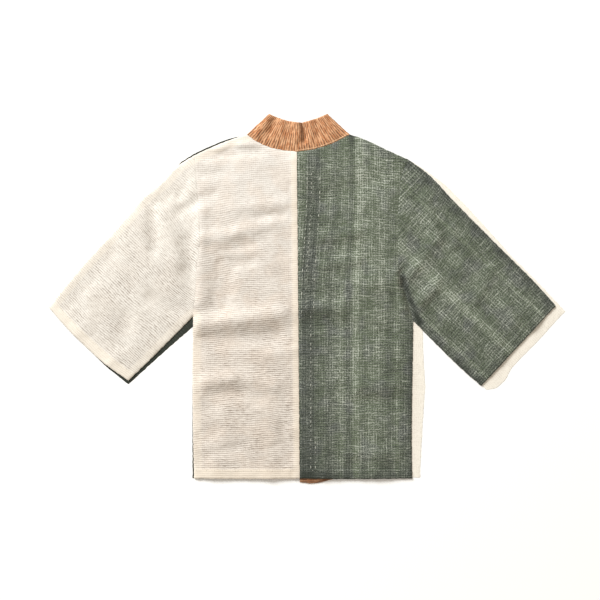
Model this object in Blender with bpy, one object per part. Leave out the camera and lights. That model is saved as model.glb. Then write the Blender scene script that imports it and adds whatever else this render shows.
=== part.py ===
"""Kimono jacket of coarse cotton, laid flat with its back upwards.

The two fronts, the sleeves' front halves and the front band lie on the ground.
The two backs, the sleeves' back halves and the band's neck stretch lie on them.
Lengths are in millimetres until a mesh is made. X is 0 at the centre back seam
and Y is 0 at the back hem. At the end the whole jacket is centred on the origin.
"""

from collections import namedtuple

import bpy
import numpy as np
from mathutils import Matrix

METRE = 1000.0

# Cloth
CLOTH = 1.2
SEAM_GAP = 0.3
HEM_DEPTH = 20.0
SEAM_FOLD = 12.0
FOLD_STEP = 0.9
STEP_WIDTH = 2.5
BAND = 2 * CLOTH
REST = BAND + SEAM_GAP

# How the upper layer lies on the lower one
LOFT = 5.0
MOUTH_LOFT = 1.8
MOUTH_REACH = 70.0
ROLL = 13.0
SOFTNESS = 1.5
SEAM_TAPER = 25.0
NECK_SAG = 2.0
NECK_SAG_REACH = 25.0

# Body, with its widths counted from the centre back seam and leans in degrees from upright
BODY_LENGTH = 722.0
NECK_WIDTH = 216.0
NECK_DEPTH = 36.0
SHOULDER_LEFT_WIDTH = 217.0
SHOULDER_RIGHT_WIDTH = 232.0
SHOULDER_LEFT_DROP = 43.0
SHOULDER_RIGHT_DROP = 53.0
HEM_LEFT_WIDTH = 219.0
HEM_RIGHT_WIDTH = 239.0
CENTRE_SEAM_SWAY = 3.0
ARMHOLE = 339.0
ARMHOLE_LEFT_LEAN = -0.7
ARMHOLE_RIGHT_LEAN = 1.6

# Band
BAND_WIDTH = 63.0
COLLAR_TOP_WIDTH = 122.0
COLLAR_TOP_RISE = 43.0
BAND_MEET_DEPTH = 138.0
BAND_PART = 1.0
BAND_RIGHT_SWAY = 8.0
BAND_RIGHT_DROP = 8.0

# Sleeves, with the slope of the top edge and of the cuff in degrees below level
SLEEVE_LEFT_LENGTH = 443.0
SLEEVE_LEFT_SLOPE = 46.1
CUFF_LEFT_WIDTH = 228.0
CUFF_LEFT_SLOPE = 42.7
SLEEVE_RIGHT_LENGTH = 435.0
SLEEVE_RIGHT_SLOPE = 44.8
CUFF_RIGHT_WIDTH = 230.0
CUFF_RIGHT_SLOPE = 47.1

# How far the front layer shows past the back one
SIDE_LEFT_SHOWS = 3.0
SIDE_RIGHT_SHOWS = 17.0
UNDERARM_LEFT_SHOWS = 22.0
UNDERARM_RIGHT_SHOWS = 20.0
UNDERARM_RIGHT_DROP = 8.0
CUFF_LOW_SHOWS = 8.0
CUFF_RIGHT_CORNER = 11.0
CUFF_RIGHT_SHOWS = 22.0
SLEEVE_TOP_SHOWS = 5.6
HEM_TUCK = 2.0

# Colours, linear, and how matt the cotton is
CREAM = (0.82, 0.75, 0.65)
GREEN = (0.085, 0.105, 0.075)
RUST = (0.56, 0.22, 0.075)
ROUGHNESS = 0.9

SMOOTH_ANGLE = 40.0
CURVE_STEPS = 400
EDGE_PARTS = 12

# Directions, in degrees from +X towards +Y
DOWN = -90.0
UP = 90.0
LEFTWARDS = -180.0


def point(x, y):
    return np.array([x, y], float)


def step(length, degrees):
    """A step of this length, in a direction counted from +X towards +Y."""
    angle = np.radians(degrees)
    return length * point(np.cos(angle), np.sin(angle))


# Corners
NECK_LEFT = point(-NECK_WIDTH / 2, BODY_LENGTH)
NECK_RIGHT = point(NECK_WIDTH / 2, BODY_LENGTH)
NECK_BACK = point(-CENTRE_SEAM_SWAY, BODY_LENGTH - NECK_DEPTH)
COLLAR_LEFT = point(-COLLAR_TOP_WIDTH / 2, BODY_LENGTH + COLLAR_TOP_RISE)
COLLAR_RIGHT = point(COLLAR_TOP_WIDTH / 2, BODY_LENGTH + COLLAR_TOP_RISE)
ARM_TOP_LEFT = point(-SHOULDER_LEFT_WIDTH, BODY_LENGTH - SHOULDER_LEFT_DROP)
ARM_TOP_RIGHT = point(SHOULDER_RIGHT_WIDTH, BODY_LENGTH - SHOULDER_RIGHT_DROP)
UNDERARM_LEFT = ARM_TOP_LEFT + step(ARMHOLE, DOWN + ARMHOLE_LEFT_LEAN)
UNDERARM_RIGHT = ARM_TOP_RIGHT + step(ARMHOLE, DOWN + ARMHOLE_RIGHT_LEAN)
HEM_LEFT = point(-HEM_LEFT_WIDTH, 0)
HEM_CENTRE = point(CENTRE_SEAM_SWAY, 0)
HEM_RIGHT = point(HEM_RIGHT_WIDTH, 0)
CUFF_TOP_LEFT = ARM_TOP_LEFT + step(SLEEVE_LEFT_LENGTH, LEFTWARDS + SLEEVE_LEFT_SLOPE)
CUFF_LOW_LEFT = CUFF_TOP_LEFT + step(CUFF_LEFT_WIDTH, -CUFF_LEFT_SLOPE)
CUFF_TOP_RIGHT = ARM_TOP_RIGHT + step(SLEEVE_RIGHT_LENGTH, -SLEEVE_RIGHT_SLOPE)
CUFF_LOW_RIGHT = CUFF_TOP_RIGHT + step(CUFF_RIGHT_WIDTH, LEFTWARDS + CUFF_RIGHT_SLOPE)

# Corners of the front layer
UNDERARM_LEFT_FRONT = UNDERARM_LEFT - point(0, UNDERARM_LEFT_SHOWS)
UNDERARM_RIGHT_FRONT = UNDERARM_RIGHT + point(UNDERARM_RIGHT_SHOWS, -UNDERARM_RIGHT_DROP)
CUFF_LOW_LEFT_FRONT = CUFF_LOW_LEFT - point(0, CUFF_LOW_SHOWS)
SLEEVE_RIGHT_TIP = CUFF_TOP_RIGHT + step(CUFF_RIGHT_SHOWS, -SLEEVE_RIGHT_SLOPE)
CUFF_TOP_RIGHT_FRONT = SLEEVE_RIGHT_TIP + step(SLEEVE_TOP_SHOWS, UP - SLEEVE_RIGHT_SLOPE)
CUFF_LOW_RIGHT_FRONT = CUFF_LOW_RIGHT + point(CUFF_RIGHT_CORNER, -CUFF_LOW_SHOWS)
HEM_LEFT_FRONT = HEM_LEFT - point(SIDE_LEFT_SHOWS, 0)
HEM_RIGHT_FRONT = HEM_RIGHT + point(SIDE_RIGHT_SHOWS, HEM_TUCK)

# Corners of the band: its seam to the fronts, its free edges and its two feet at the hem
BAND_MEET = BODY_LENGTH - BAND_MEET_DEPTH
BAND_MEET_LEFT = point(-BAND_PART - BAND_WIDTH, BAND_MEET)
BAND_MEET_RIGHT = point(BAND_PART + BAND_WIDTH, BAND_MEET)
BAND_FOOT_LEFT = point(-BAND_PART - BAND_WIDTH, 0)
BAND_FOOT_RIGHT = point(BAND_PART + BAND_WIDTH + BAND_RIGHT_SWAY, -HEM_TUCK)
FRONT_FOOT_LEFT = BAND_FOOT_LEFT + point(0, HEM_TUCK)
FRONT_FOOT_RIGHT = BAND_FOOT_RIGHT + point(0, 2 * HEM_TUCK)
FREE_MEET_LEFT = point(-BAND_PART, BAND_MEET)
FREE_MEET_RIGHT = point(BAND_PART, BAND_MEET)
FREE_FOOT_LEFT = point(-BAND_PART, 0)
FREE_FOOT_RIGHT = point(BAND_PART + HEM_TUCK, -BAND_RIGHT_DROP)

# An edge's bow is how far it lies to the left of the straight line from its start to its end
Bow = namedtuple("Bow", "share out")
Edge = namedtuple("Edge", "start end bows")

SHOULDER_LEFT = Edge(ARM_TOP_LEFT, NECK_LEFT, (Bow(0.3, 2), Bow(0.75, 2)))
SHOULDER_RIGHT = Edge(NECK_RIGHT, ARM_TOP_RIGHT, (Bow(0.25, 3), Bow(0.6, 1)))
NECK_SEAM_LEFT = Edge(NECK_LEFT, NECK_BACK, (Bow(0.25, -8), Bow(0.6, -9)))
NECK_SEAM_RIGHT = Edge(NECK_BACK, NECK_RIGHT, (Bow(0.4, -7), Bow(0.8, -4)))
COLLAR_TOP = Edge(COLLAR_LEFT, COLLAR_RIGHT, (Bow(0.25, -12), Bow(0.52, -18), Bow(0.77, -11)))
COLLAR_FOLDS = ((COLLAR_LEFT, NECK_LEFT), (COLLAR_RIGHT, NECK_RIGHT))
ARMHOLE_BOWS_LEFT = (Bow(0.27, 8), Bow(0.56, 13), Bow(0.7, 7), Bow(0.84, 5))
ARMHOLE_BOWS_RIGHT = (Bow(0.05, -11), Bow(0.19, -21), Bow(0.5, -28), Bow(0.68, -27), Bow(0.83, -14))
ARMHOLE_LEFT = Edge(ARM_TOP_LEFT, UNDERARM_LEFT, ARMHOLE_BOWS_LEFT)
ARMHOLE_LEFT_FRONT = Edge(ARM_TOP_LEFT, UNDERARM_LEFT_FRONT, ARMHOLE_BOWS_LEFT)
ARMHOLE_RIGHT = Edge(ARM_TOP_RIGHT, UNDERARM_RIGHT, ARMHOLE_BOWS_RIGHT)
ARMHOLE_RIGHT_FRONT = Edge(ARM_TOP_RIGHT, UNDERARM_RIGHT_FRONT, ARMHOLE_BOWS_RIGHT)
SIDE_LEFT = Edge(UNDERARM_LEFT, HEM_LEFT, (Bow(0.5, -2),))
SIDE_LEFT_FRONT = Edge(UNDERARM_LEFT_FRONT, HEM_LEFT_FRONT, (Bow(0.5, -1),))
SIDE_RIGHT = Edge(UNDERARM_RIGHT, HEM_RIGHT, (Bow(0.8, -1),))
SIDE_BOWS_RIGHT_FRONT = (Bow(0.2, 2), Bow(0.5, 8), Bow(0.75, 0))
SIDE_RIGHT_FRONT = Edge(UNDERARM_RIGHT_FRONT, HEM_RIGHT_FRONT, SIDE_BOWS_RIGHT_FRONT)
CENTRE_SEAM = Edge(NECK_BACK, HEM_CENTRE, ())
HEM_BACK_LEFT = Edge(HEM_LEFT, HEM_CENTRE, (Bow(0.5, -1),))
HEM_BACK_RIGHT = Edge(HEM_CENTRE, HEM_RIGHT, (Bow(0.4, -1),))
HEM_FRONT_LEFT = Edge(HEM_LEFT_FRONT, FRONT_FOOT_LEFT, ())
HEM_FRONT_RIGHT = Edge(FRONT_FOOT_RIGHT, HEM_RIGHT_FRONT, ())
BAND_END_LEFT = Edge(BAND_FOOT_LEFT, FREE_FOOT_LEFT, ())
BAND_END_RIGHT = Edge(FREE_FOOT_RIGHT, BAND_FOOT_RIGHT, (Bow(0.35, -5),))
TOP_BOWS_LEFT = (Bow(0.1, -11), Bow(0.2, -9), Bow(0.28, -15), Bow(0.5, -11), Bow(0.75, -9))
TOP_BOWS_RIGHT = (Bow(0.1, 7), Bow(0.3, 5), Bow(0.6, 4), Bow(0.9, 3))
TOP_BOWS_RIGHT_FRONT = (Bow(0.16, 15), Bow(0.29, 15), Bow(0.44, 12), Bow(0.65, 5), Bow(0.85, 4))
SLEEVE_TOP_LEFT = Edge(ARM_TOP_LEFT, CUFF_TOP_LEFT, TOP_BOWS_LEFT)
SLEEVE_TOP_RIGHT = Edge(ARM_TOP_RIGHT, CUFF_TOP_RIGHT, TOP_BOWS_RIGHT)
SLEEVE_TOP_RIGHT_FRONT = Edge(ARM_TOP_RIGHT, CUFF_TOP_RIGHT_FRONT, TOP_BOWS_RIGHT_FRONT)
SLEEVE_LOW_LEFT = Edge(UNDERARM_LEFT, CUFF_LOW_LEFT, (Bow(0.6, 1),))
SLEEVE_LOW_LEFT_FRONT = Edge(UNDERARM_LEFT_FRONT, CUFF_LOW_LEFT_FRONT, (Bow(0.3, -1),))
SLEEVE_LOW_RIGHT = Edge(UNDERARM_RIGHT, CUFF_LOW_RIGHT, (Bow(0.8, -2),))
SLEEVE_LOW_RIGHT_FRONT = Edge(UNDERARM_RIGHT_FRONT, CUFF_LOW_RIGHT_FRONT, ())
CUFF_LEFT = Edge(CUFF_TOP_LEFT, CUFF_LOW_LEFT, (Bow(0.25, -6), Bow(0.5, -8), Bow(0.7, -8)))
CUFF_LEFT_FRONT = Edge(CUFF_TOP_LEFT, CUFF_LOW_LEFT_FRONT, (Bow(0.25, -4), Bow(0.5, -4), Bow(0.7, -6)))
CUFF_RIGHT = Edge(CUFF_TOP_RIGHT, CUFF_LOW_RIGHT, ())
CUFF_BOWS_RIGHT_FRONT = (Bow(0.25, -2), Bow(0.5, -2), Bow(0.75, 5), Bow(0.88, 17))
CUFF_RIGHT_FRONT = Edge(CUFF_TOP_RIGHT_FRONT, CUFF_LOW_RIGHT_FRONT, CUFF_BOWS_RIGHT_FRONT)

CLOSED_EDGES = (
    SHOULDER_LEFT,
    SHOULDER_RIGHT,
    NECK_SEAM_LEFT,
    NECK_SEAM_RIGHT,
    SIDE_LEFT,
    SIDE_RIGHT,
    SLEEVE_TOP_LEFT,
    SLEEVE_TOP_RIGHT,
    SLEEVE_LOW_LEFT,
    SLEEVE_LOW_RIGHT,
)
OPEN_EDGES = (HEM_BACK_LEFT, HEM_BACK_RIGHT, CUFF_LEFT, CUFF_RIGHT)
FRONT_SEAMS = (
    SHOULDER_LEFT,
    SHOULDER_RIGHT,
    SIDE_LEFT_FRONT,
    SIDE_RIGHT_FRONT,
    SLEEVE_TOP_LEFT,
    SLEEVE_TOP_RIGHT_FRONT,
    SLEEVE_LOW_LEFT_FRONT,
    SLEEVE_LOW_RIGHT_FRONT,
)

# Folds of the upper layer. A ridge rises, and a trough has a rise below zero
Fold = namedtuple("Fold", "x y end_x end_y spread rise")
FOLDS = (
    # left back
    Fold(-207, 644, -112, 686, 18, -2.5),
    Fold(-200, 495, -60, 528, 20, 3.0),
    Fold(-156, 489, -98, 503, 12, -2.0),
    Fold(-98, 516, -28, 556, 16, -3.0),
    Fold(-194, 463, -125, 419, 20, -2.0),
    Fold(-198, 446, -158, 350, 18, -2.5),
    Fold(-211, 336, -8, 368, 19, 5.5),
    Fold(-196, 322, -24, 304, 17, -4.0),
    Fold(-169, 201, -60, 173, 16, -3.0),
    Fold(-160, 163, -50, 150, 14, 2.0),
    Fold(-194, 104, -156, 72, 14, -1.5),
    # right back
    Fold(24, 372, 196, 352, 20, 3.5),
    Fold(30, 326, 190, 304, 17, -3.0),
    Fold(30, 530, 140, 508, 22, 2.0),
    Fold(60, 590, 170, 628, 20, -2.0),
    Fold(70, 196, 180, 172, 18, -2.5),
    Fold(50, 120, 120, 132, 18, 1.5),
    Fold(217, 474, 283, 453, 16, 2.5),
    Fold(224, 421, 238, 345, 11, -2.5),
    # left sleeve
    Fold(-260, 635, -287, 581, 17, -3.5),
    Fold(-287, 581, -312, 526, 15, -3.0),
    Fold(-276, 591, -243, 539, 18, 3.0),
    Fold(-243, 501, -224, 405, 13, -3.0),
    Fold(-330, 470, -300, 380, 22, 2.0),
    Fold(-490, 408, -463, 388, 13, -2.0),
    Fold(-410, 400, -370, 330, 20, -2.0),
    # right sleeve
    Fold(297, 539, 314, 495, 15, -2.5),
    Fold(330, 480, 380, 400, 22, 2.5),
    Fold(400, 430, 440, 370, 18, -2.5),
    Fold(300, 380, 350, 320, 18, -2.0),
    Fold(450, 340, 480, 300, 20, 2.0),
    # waves of the hem
    Fold(-178, 0, -176, 45, 20, 1.6),
    Fold(-122, 0, -124, 30, 16, -1.2),
    Fold(-62, 0, -60, 50, 20, 1.8),
    Fold(52, 0, 50, 35, 18, 1.4),
    Fold(110, 0, 112, 40, 16, -1.2),
    Fold(176, 0, 174, 50, 22, 1.8),
    # waves of the cuffs
    Fold(-470, 300, -440, 330, 20, 1.6),
    Fold(-400, 238, -380, 260, 18, 1.8),
    Fold(500, 320, 470, 345, 20, 2.6),
    Fold(430, 243, 405, 270, 22, 2.4),
)


def even(count):
    return np.linspace(0.0, 1.0, count + 1)


# Where a panel's rows and columns lie along its edges
SIDE_LENGTH = UNDERARM_LEFT[1]
NECK_HALF = NECK_WIDTH / 2
SIDE_HEM = 1 - HEM_DEPTH / SIDE_LENGTH
SIDE_STEP = SIDE_HEM - STEP_WIDTH / SIDE_LENGTH
CUFF_HEM = 1 - HEM_DEPTH / SLEEVE_LEFT_LENGTH
CUFF_STEP = CUFF_HEM - STEP_WIDTH / SLEEVE_LEFT_LENGTH
SEAM_HEM = 1 - SEAM_FOLD / NECK_HALF
SEAM_STEP = SEAM_HEM - STEP_WIDTH / NECK_HALF
SHOULDER_SHARES = np.array([0.0, 0.05, 0.2, 0.4, 0.6, 0.8, 1.0])
NECK_SHARES = np.array([0.0, 0.17, 0.34, 0.51, 0.68, SEAM_STEP, SEAM_HEM, 1.0])
ARM_SHARES = np.concatenate([[0.0, 0.03], np.linspace(0.08, 0.97, 16), [1.0]])
SIDE_SHARES = np.concatenate([np.linspace(0.0, SIDE_STEP, 20), [SIDE_HEM, 1.0]])
SLEEVE_SHARES = np.concatenate([[0.0], np.linspace(0.04, CUFF_STEP, 20), [CUFF_HEM, 1.0]])
FRONT_ACROSS = np.array([0.0, 0.08, 0.2, 0.5, 0.8, 1.0])
FRONT_ARM_SHARES = np.concatenate([[0.0], np.linspace(0.08, 0.92, 8), [1.0]])
FRONT_SIDE_SHARES = np.array([0.0, 0.15, 0.4, 0.65, SIDE_STEP, SIDE_HEM, 1.0])
FRONT_SLEEVE_SHARES = np.array([0.0, 0.08, 0.2, 0.35, 0.5, 0.65, 0.8, CUFF_STEP, CUFF_HEM, 1.0])
COLLAR_SHARES = even(5)
BAND_ACROSS = even(3)
BAND_SLOPE_PARTS = 3
BAND_ROWS = 12


def clear_scene():
    for item in list(bpy.data.objects):
        bpy.data.objects.remove(item, do_unlink=True)


def cotton(name, colour):
    material = bpy.data.materials.new(name)
    material.use_nodes = True
    shader = material.node_tree.nodes["Principled BSDF"]
    shader.inputs["Base Color"].default_value = (*colour, 1.0)
    shader.inputs["Roughness"].default_value = ROUGHNESS
    shader.inputs["Metallic"].default_value = 0.0
    return material


def shares_of(line):
    """How far along a line each of its points is, from 0 to 1."""
    steps = np.linalg.norm(np.diff(line, axis=0), axis=1)
    run = np.concatenate([[0.0], np.cumsum(steps)])
    return run / run[-1]


def smooth(knots, shares):
    """Points on a smooth line through the knots, at shares of its length."""
    chords = np.linalg.norm(np.diff(knots, axis=0), axis=1)
    at = np.concatenate([[0.0], np.cumsum(chords)])
    slopes = np.gradient(knots, at, axis=0)
    fine = np.linspace(0.0, at[-1], CURVE_STEPS)
    span = np.clip(np.searchsorted(at, fine, side="right") - 1, 0, len(at) - 2)
    width = (at[span + 1] - at[span])[:, None]
    s = (fine - at[span])[:, None] / width
    line = (1 + 2 * s) * (1 - s) ** 2 * knots[span]
    line += s * (1 - s) ** 2 * width * slopes[span]
    line += s * s * (3 - 2 * s) * knots[span + 1]
    line += s * s * (s - 1) * width * slopes[span + 1]
    run = shares_of(line)
    return np.column_stack([np.interp(shares, run, line[:, 0]), np.interp(shares, run, line[:, 1])])


def sampled(edge, shares):
    """Points along a panel's edge."""
    along = edge.end - edge.start
    left = point(-along[1], along[0]) / np.linalg.norm(along)
    knots = [edge.start + bow.share * along + bow.out * left for bow in edge.bows]
    return smooth(np.array([edge.start, *knots, edge.end]), shares)


def chained(*pieces):
    """Sampled edges that run on from one another, as one line."""
    return np.vstack([pieces[0], *(piece[1:] for piece in pieces[1:])])


def spread(top, bottom, left, right):
    """A four-sided panel's plan points, in rows from top to bottom, blended from its edges."""
    across = shares_of(bottom)[None, :, None]
    down = shares_of(left)[:, None, None]
    rows = (1 - down) * top[None] + down * bottom[None]
    columns = (1 - across) * left[:, None] + across * right[:, None]
    upper = (1 - across) * top[0] + across * top[-1]
    lower = (1 - across) * bottom[0] + across * bottom[-1]
    return rows + columns - ((1 - down) * upper + down * lower)


def rim_of(rows, columns):
    """Row and column of each point round a grid's rim, from its first corner along its first row."""
    rim = [(0, column) for column in range(columns)]
    rim += [(row, columns - 1) for row in range(1, rows)]
    rim += [(rows - 1, column) for column in range(columns - 2, -1, -1)]
    rim += [(row, 0) for row in range(rows - 2, 0, -1)]
    return rim


def drawn_in(plan):
    """The plan with its rim moved inwards by half the gap at a seam."""
    rim = rim_of(*plan.shape[:2])
    line = np.array([plan[at] for at in rim])
    ahead = np.roll(line, -1, axis=0) - line
    ahead /= np.linalg.norm(ahead, axis=1)[:, None]
    # The rim runs clockwise seen from above, so inwards is to the right of the way it runs
    inward = np.column_stack([ahead[:, 1], -ahead[:, 0]])
    both = inward + np.roll(inward, 1, axis=0)
    both /= np.linalg.norm(both, axis=1)[:, None]
    reach = SEAM_GAP / 2 / np.sum(both * inward, axis=1)
    moved = plan.copy()
    for at, place in zip(rim, line + reach[:, None] * both):
        moved[at] = place
    return moved


def distance(plan, start, end):
    """From each plan point to the straight line between two points."""
    along = end - start
    share = np.clip(((plan - start) @ along) / (along @ along), 0.0, 1.0)
    return np.linalg.norm(plan - start - share[..., None] * along, axis=-1)


def nearest(plan, edges):
    """From each plan point to the nearest of several edges."""
    away = []
    for edge in edges:
        line = sampled(edge, even(EDGE_PARTS))
        away += [distance(plan, start, end) for start, end in zip(line[:-1], line[1:])]
    return np.min(away, axis=0)


def lie(plan):
    """Height of the upper layer's underside: it rolls up from the closed edges and rides over folds."""
    mouth = 1.0 - np.exp(-nearest(plan, OPEN_EDGES) / MOUTH_REACH)
    height = MOUTH_LOFT + (LOFT - MOUTH_LOFT) * mouth
    for fold in FOLDS:
        away = distance(plan, point(fold.x, fold.y), point(fold.end_x, fold.end_y))
        height = height + fold.rise * np.exp(-((away / fold.spread) ** 2))
    height = 0.5 * (height + np.sqrt(height**2 + SOFTNESS**2))
    return REST + height * (1.0 - np.exp(-nearest(plan, CLOSED_EDGES) / ROLL))


def turned_up(plan, edge, depth):
    """Extra thickness where the cloth is folded inside a hem or a seam."""
    return FOLD_STEP * (nearest(plan, [edge]) < depth + STEP_WIDTH / 2)


def wall(name, plan, under, thickness, material):
    """A closed wall over a panel's plan, from the height of its underside and its thickness."""
    rows, columns = plan.shape[:2]
    plan = drawn_in(plan)
    under = np.broadcast_to(under, (rows, columns))
    upper = np.dstack([plan, under + thickness]).reshape(-1, 3)
    lower = np.dstack([plan, under]).reshape(-1, 3)
    count = rows * columns
    faces = []
    for row in range(rows - 1):
        for column in range(columns - 1):
            a = row * columns + column
            b, c, d = a + columns, a + columns + 1, a + 1
            faces += [(a, b, c), (a, c, d)]
            faces += [(count + a, count + c, count + b), (count + a, count + d, count + c)]
    rim = [row * columns + column for row, column in rim_of(rows, columns)]
    for a, b in zip(rim, rim[1:] + rim[:1]):
        faces += [(a, b, count + b), (a, count + b, count + a)]
    mesh = bpy.data.meshes.new(name)
    mesh.from_pydata((np.vstack([upper, lower]) / METRE).tolist(), [], faces)
    mesh.materials.append(material)
    mesh.shade_smooth()
    mesh.set_sharp_from_angle(angle=np.radians(SMOOTH_ANGLE))
    bpy.context.collection.objects.link(bpy.data.objects.new(name, mesh))


def back_left(cream):
    top = chained(sampled(SHOULDER_LEFT, SHOULDER_SHARES), sampled(NECK_SEAM_LEFT, NECK_SHARES))
    left = chained(sampled(ARMHOLE_LEFT, ARM_SHARES), sampled(SIDE_LEFT, SIDE_SHARES))
    bottom = sampled(HEM_BACK_LEFT, shares_of(top))
    plan = spread(top, bottom, left, sampled(CENTRE_SEAM, shares_of(left)))
    hem = turned_up(plan, HEM_BACK_LEFT, HEM_DEPTH)
    seam = turned_up(plan, CENTRE_SEAM, SEAM_FOLD)
    wall("back_left", plan, lie(plan), CLOTH + np.maximum(hem, seam), cream)


def back_right(green):
    neck = sampled(NECK_SEAM_RIGHT, np.flip(1 - NECK_SHARES))
    top = chained(neck, sampled(SHOULDER_RIGHT, np.flip(1 - SHOULDER_SHARES)))
    right = chained(sampled(ARMHOLE_RIGHT, ARM_SHARES), sampled(SIDE_RIGHT, SIDE_SHARES))
    bottom = sampled(HEM_BACK_RIGHT, shares_of(top))
    plan = spread(top, bottom, sampled(CENTRE_SEAM, shares_of(right)), right)
    wall("back_right", plan, lie(plan), CLOTH + turned_up(plan, HEM_BACK_RIGHT, HEM_DEPTH), green)


def sleeve_plan(armhole, cuff, top, low, along, across):
    """A sleeve half, in rows from the armhole to the cuff and columns from its top edge down."""
    start = sampled(armhole, across)
    end = sampled(cuff, shares_of(start))
    return spread(start, end, sampled(top, along), sampled(low, along))


def sleeve_backs(cream, green):
    shares = SLEEVE_SHARES, ARM_SHARES
    plan = sleeve_plan(ARMHOLE_LEFT, CUFF_LEFT, SLEEVE_TOP_LEFT, SLEEVE_LOW_LEFT, *shares)
    wall("sleeve_left_back", plan, lie(plan), CLOTH + turned_up(plan, CUFF_LEFT, HEM_DEPTH), cream)
    plan = sleeve_plan(ARMHOLE_RIGHT, CUFF_RIGHT, SLEEVE_TOP_RIGHT, SLEEVE_LOW_RIGHT, *shares)
    plan = plan[:, ::-1]
    wall("sleeve_right_back", plan, lie(plan), CLOTH + turned_up(plan, CUFF_RIGHT, HEM_DEPTH), green)


def front_thickness(plan, mouth):
    """A front panel is one cloth thick, and thicker over its seam folds and its hem."""
    seam = (BAND - CLOTH) * np.clip(1 - nearest(plan, FRONT_SEAMS) / SEAM_TAPER, 0.0, 1.0)
    return CLOTH + np.maximum(seam, turned_up(plan, mouth, HEM_DEPTH))


def sleeve_fronts(cream, green):
    shares = FRONT_SLEEVE_SHARES, FRONT_ARM_SHARES
    top, low = SLEEVE_TOP_LEFT, SLEEVE_LOW_LEFT_FRONT
    plan = sleeve_plan(ARMHOLE_LEFT_FRONT, CUFF_LEFT_FRONT, top, low, *shares)
    wall("sleeve_left_front", plan, 0.0, front_thickness(plan, CUFF_LEFT_FRONT), green)
    top, low = SLEEVE_TOP_RIGHT_FRONT, SLEEVE_LOW_RIGHT_FRONT
    plan = sleeve_plan(ARMHOLE_RIGHT_FRONT, CUFF_RIGHT_FRONT, top, low, *shares)[:, ::-1]
    wall("sleeve_right_front", plan, 0.0, front_thickness(plan, CUFF_RIGHT_FRONT), cream)


def body_fronts(cream, green):
    side = chained(
        sampled(ARMHOLE_LEFT_FRONT, FRONT_ARM_SHARES), sampled(SIDE_LEFT_FRONT, FRONT_SIDE_SHARES)
    )
    band = band_line(NECK_LEFT, BAND_MEET_LEFT, FRONT_FOOT_LEFT, len(side))
    top = sampled(SHOULDER_LEFT, FRONT_ACROSS)
    plan = spread(top, sampled(HEM_FRONT_LEFT, FRONT_ACROSS), side, band)
    wall("front_left", plan, 0.0, front_thickness(plan, HEM_FRONT_LEFT), green)

    side = chained(
        sampled(ARMHOLE_RIGHT_FRONT, FRONT_ARM_SHARES), sampled(SIDE_RIGHT_FRONT, FRONT_SIDE_SHARES)
    )
    band = band_line(NECK_RIGHT, BAND_MEET_RIGHT, FRONT_FOOT_RIGHT, len(side))
    across = np.flip(1 - FRONT_ACROSS)
    plan = spread(sampled(SHOULDER_RIGHT, across), sampled(HEM_FRONT_RIGHT, across), band, side)
    wall("front_right", plan, 0.0, front_thickness(plan, HEM_FRONT_RIGHT), cream)


def band_line(start, meet, foot, count):
    """The band's edge: aslant from the neck to where the bands meet, then straight down."""
    slope = sampled(Edge(start, meet, ()), even(BAND_SLOPE_PARTS))
    return chained(slope, sampled(Edge(meet, foot, ()), even(count - 1 - BAND_SLOPE_PARTS)))


def band_fronts(rust):
    seam = band_line(NECK_LEFT, BAND_MEET_LEFT, BAND_FOOT_LEFT, BAND_ROWS)
    free = band_line(COLLAR_LEFT, FREE_MEET_LEFT, FREE_FOOT_LEFT, BAND_ROWS)
    fold = sampled(Edge(NECK_LEFT, COLLAR_LEFT, ()), BAND_ACROSS)
    plan = spread(fold, sampled(BAND_END_LEFT, BAND_ACROSS), seam, free)
    wall("band_left", plan, 0.0, BAND, rust)

    seam = band_line(NECK_RIGHT, BAND_MEET_RIGHT, BAND_FOOT_RIGHT, BAND_ROWS)
    free = band_line(COLLAR_RIGHT, FREE_MEET_RIGHT, FREE_FOOT_RIGHT, BAND_ROWS)
    fold = sampled(Edge(COLLAR_RIGHT, NECK_RIGHT, ()), BAND_ACROSS)
    plan = spread(fold, sampled(BAND_END_RIGHT, BAND_ACROSS), free, seam)
    wall("band_right", plan, 0.0, BAND, rust)


def band_neck(rust):
    left = sampled(NECK_SEAM_LEFT, NECK_SHARES)
    seam = chained(left, sampled(NECK_SEAM_RIGHT, np.flip(1 - NECK_SHARES)))
    sides = [sampled(Edge(top, foot, ()), COLLAR_SHARES) for top, foot in COLLAR_FOLDS]
    plan = spread(sampled(COLLAR_TOP, shares_of(seam)), seam, *sides)
    middle = np.clip(1 - (plan[..., 0] / NECK_SAG_REACH) ** 2, 0.0, 1.0)
    wall("band_neck", plan, REST - NECK_SAG * middle * (1 - COLLAR_SHARES[:, None]), BAND, rust)


def centre_on_origin():
    """Moves the whole jacket, in its meshes, so that its box stands centred on the origin."""
    parts = [item.data for item in bpy.data.objects]
    corners = np.array([vertex.co for mesh in parts for vertex in mesh.vertices])
    low, high = corners.min(axis=0), corners.max(axis=0)
    shift = Matrix.Translation((-(low[0] + high[0]) / 2, -(low[1] + high[1]) / 2, -low[2]))
    for mesh in parts:
        mesh.transform(shift)


def main():
    clear_scene()
    cream = cotton("cream_cotton", CREAM)
    green = cotton("green_cotton", GREEN)
    rust = cotton("rust_cotton", RUST)
    body_fronts(cream, green)
    sleeve_fronts(cream, green)
    band_fronts(rust)
    band_neck(rust)
    back_left(cream)
    back_right(green)
    sleeve_backs(cream, green)
    centre_on_origin()


main()
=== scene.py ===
"""Kimono jacket of coarse cotton, laid flat with its back upwards: its cloth, stitches and light.

Each solid of the frame gives the outline of one piece of cloth. The cloth is woven over it in
rows that follow its ribs. Lengths are in metres, and MM turns millimetres into them. Places on
the garment are in millimetres from the foot of its centre back seam.
"""

import math
from collections import namedtuple
from types import SimpleNamespace

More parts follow.
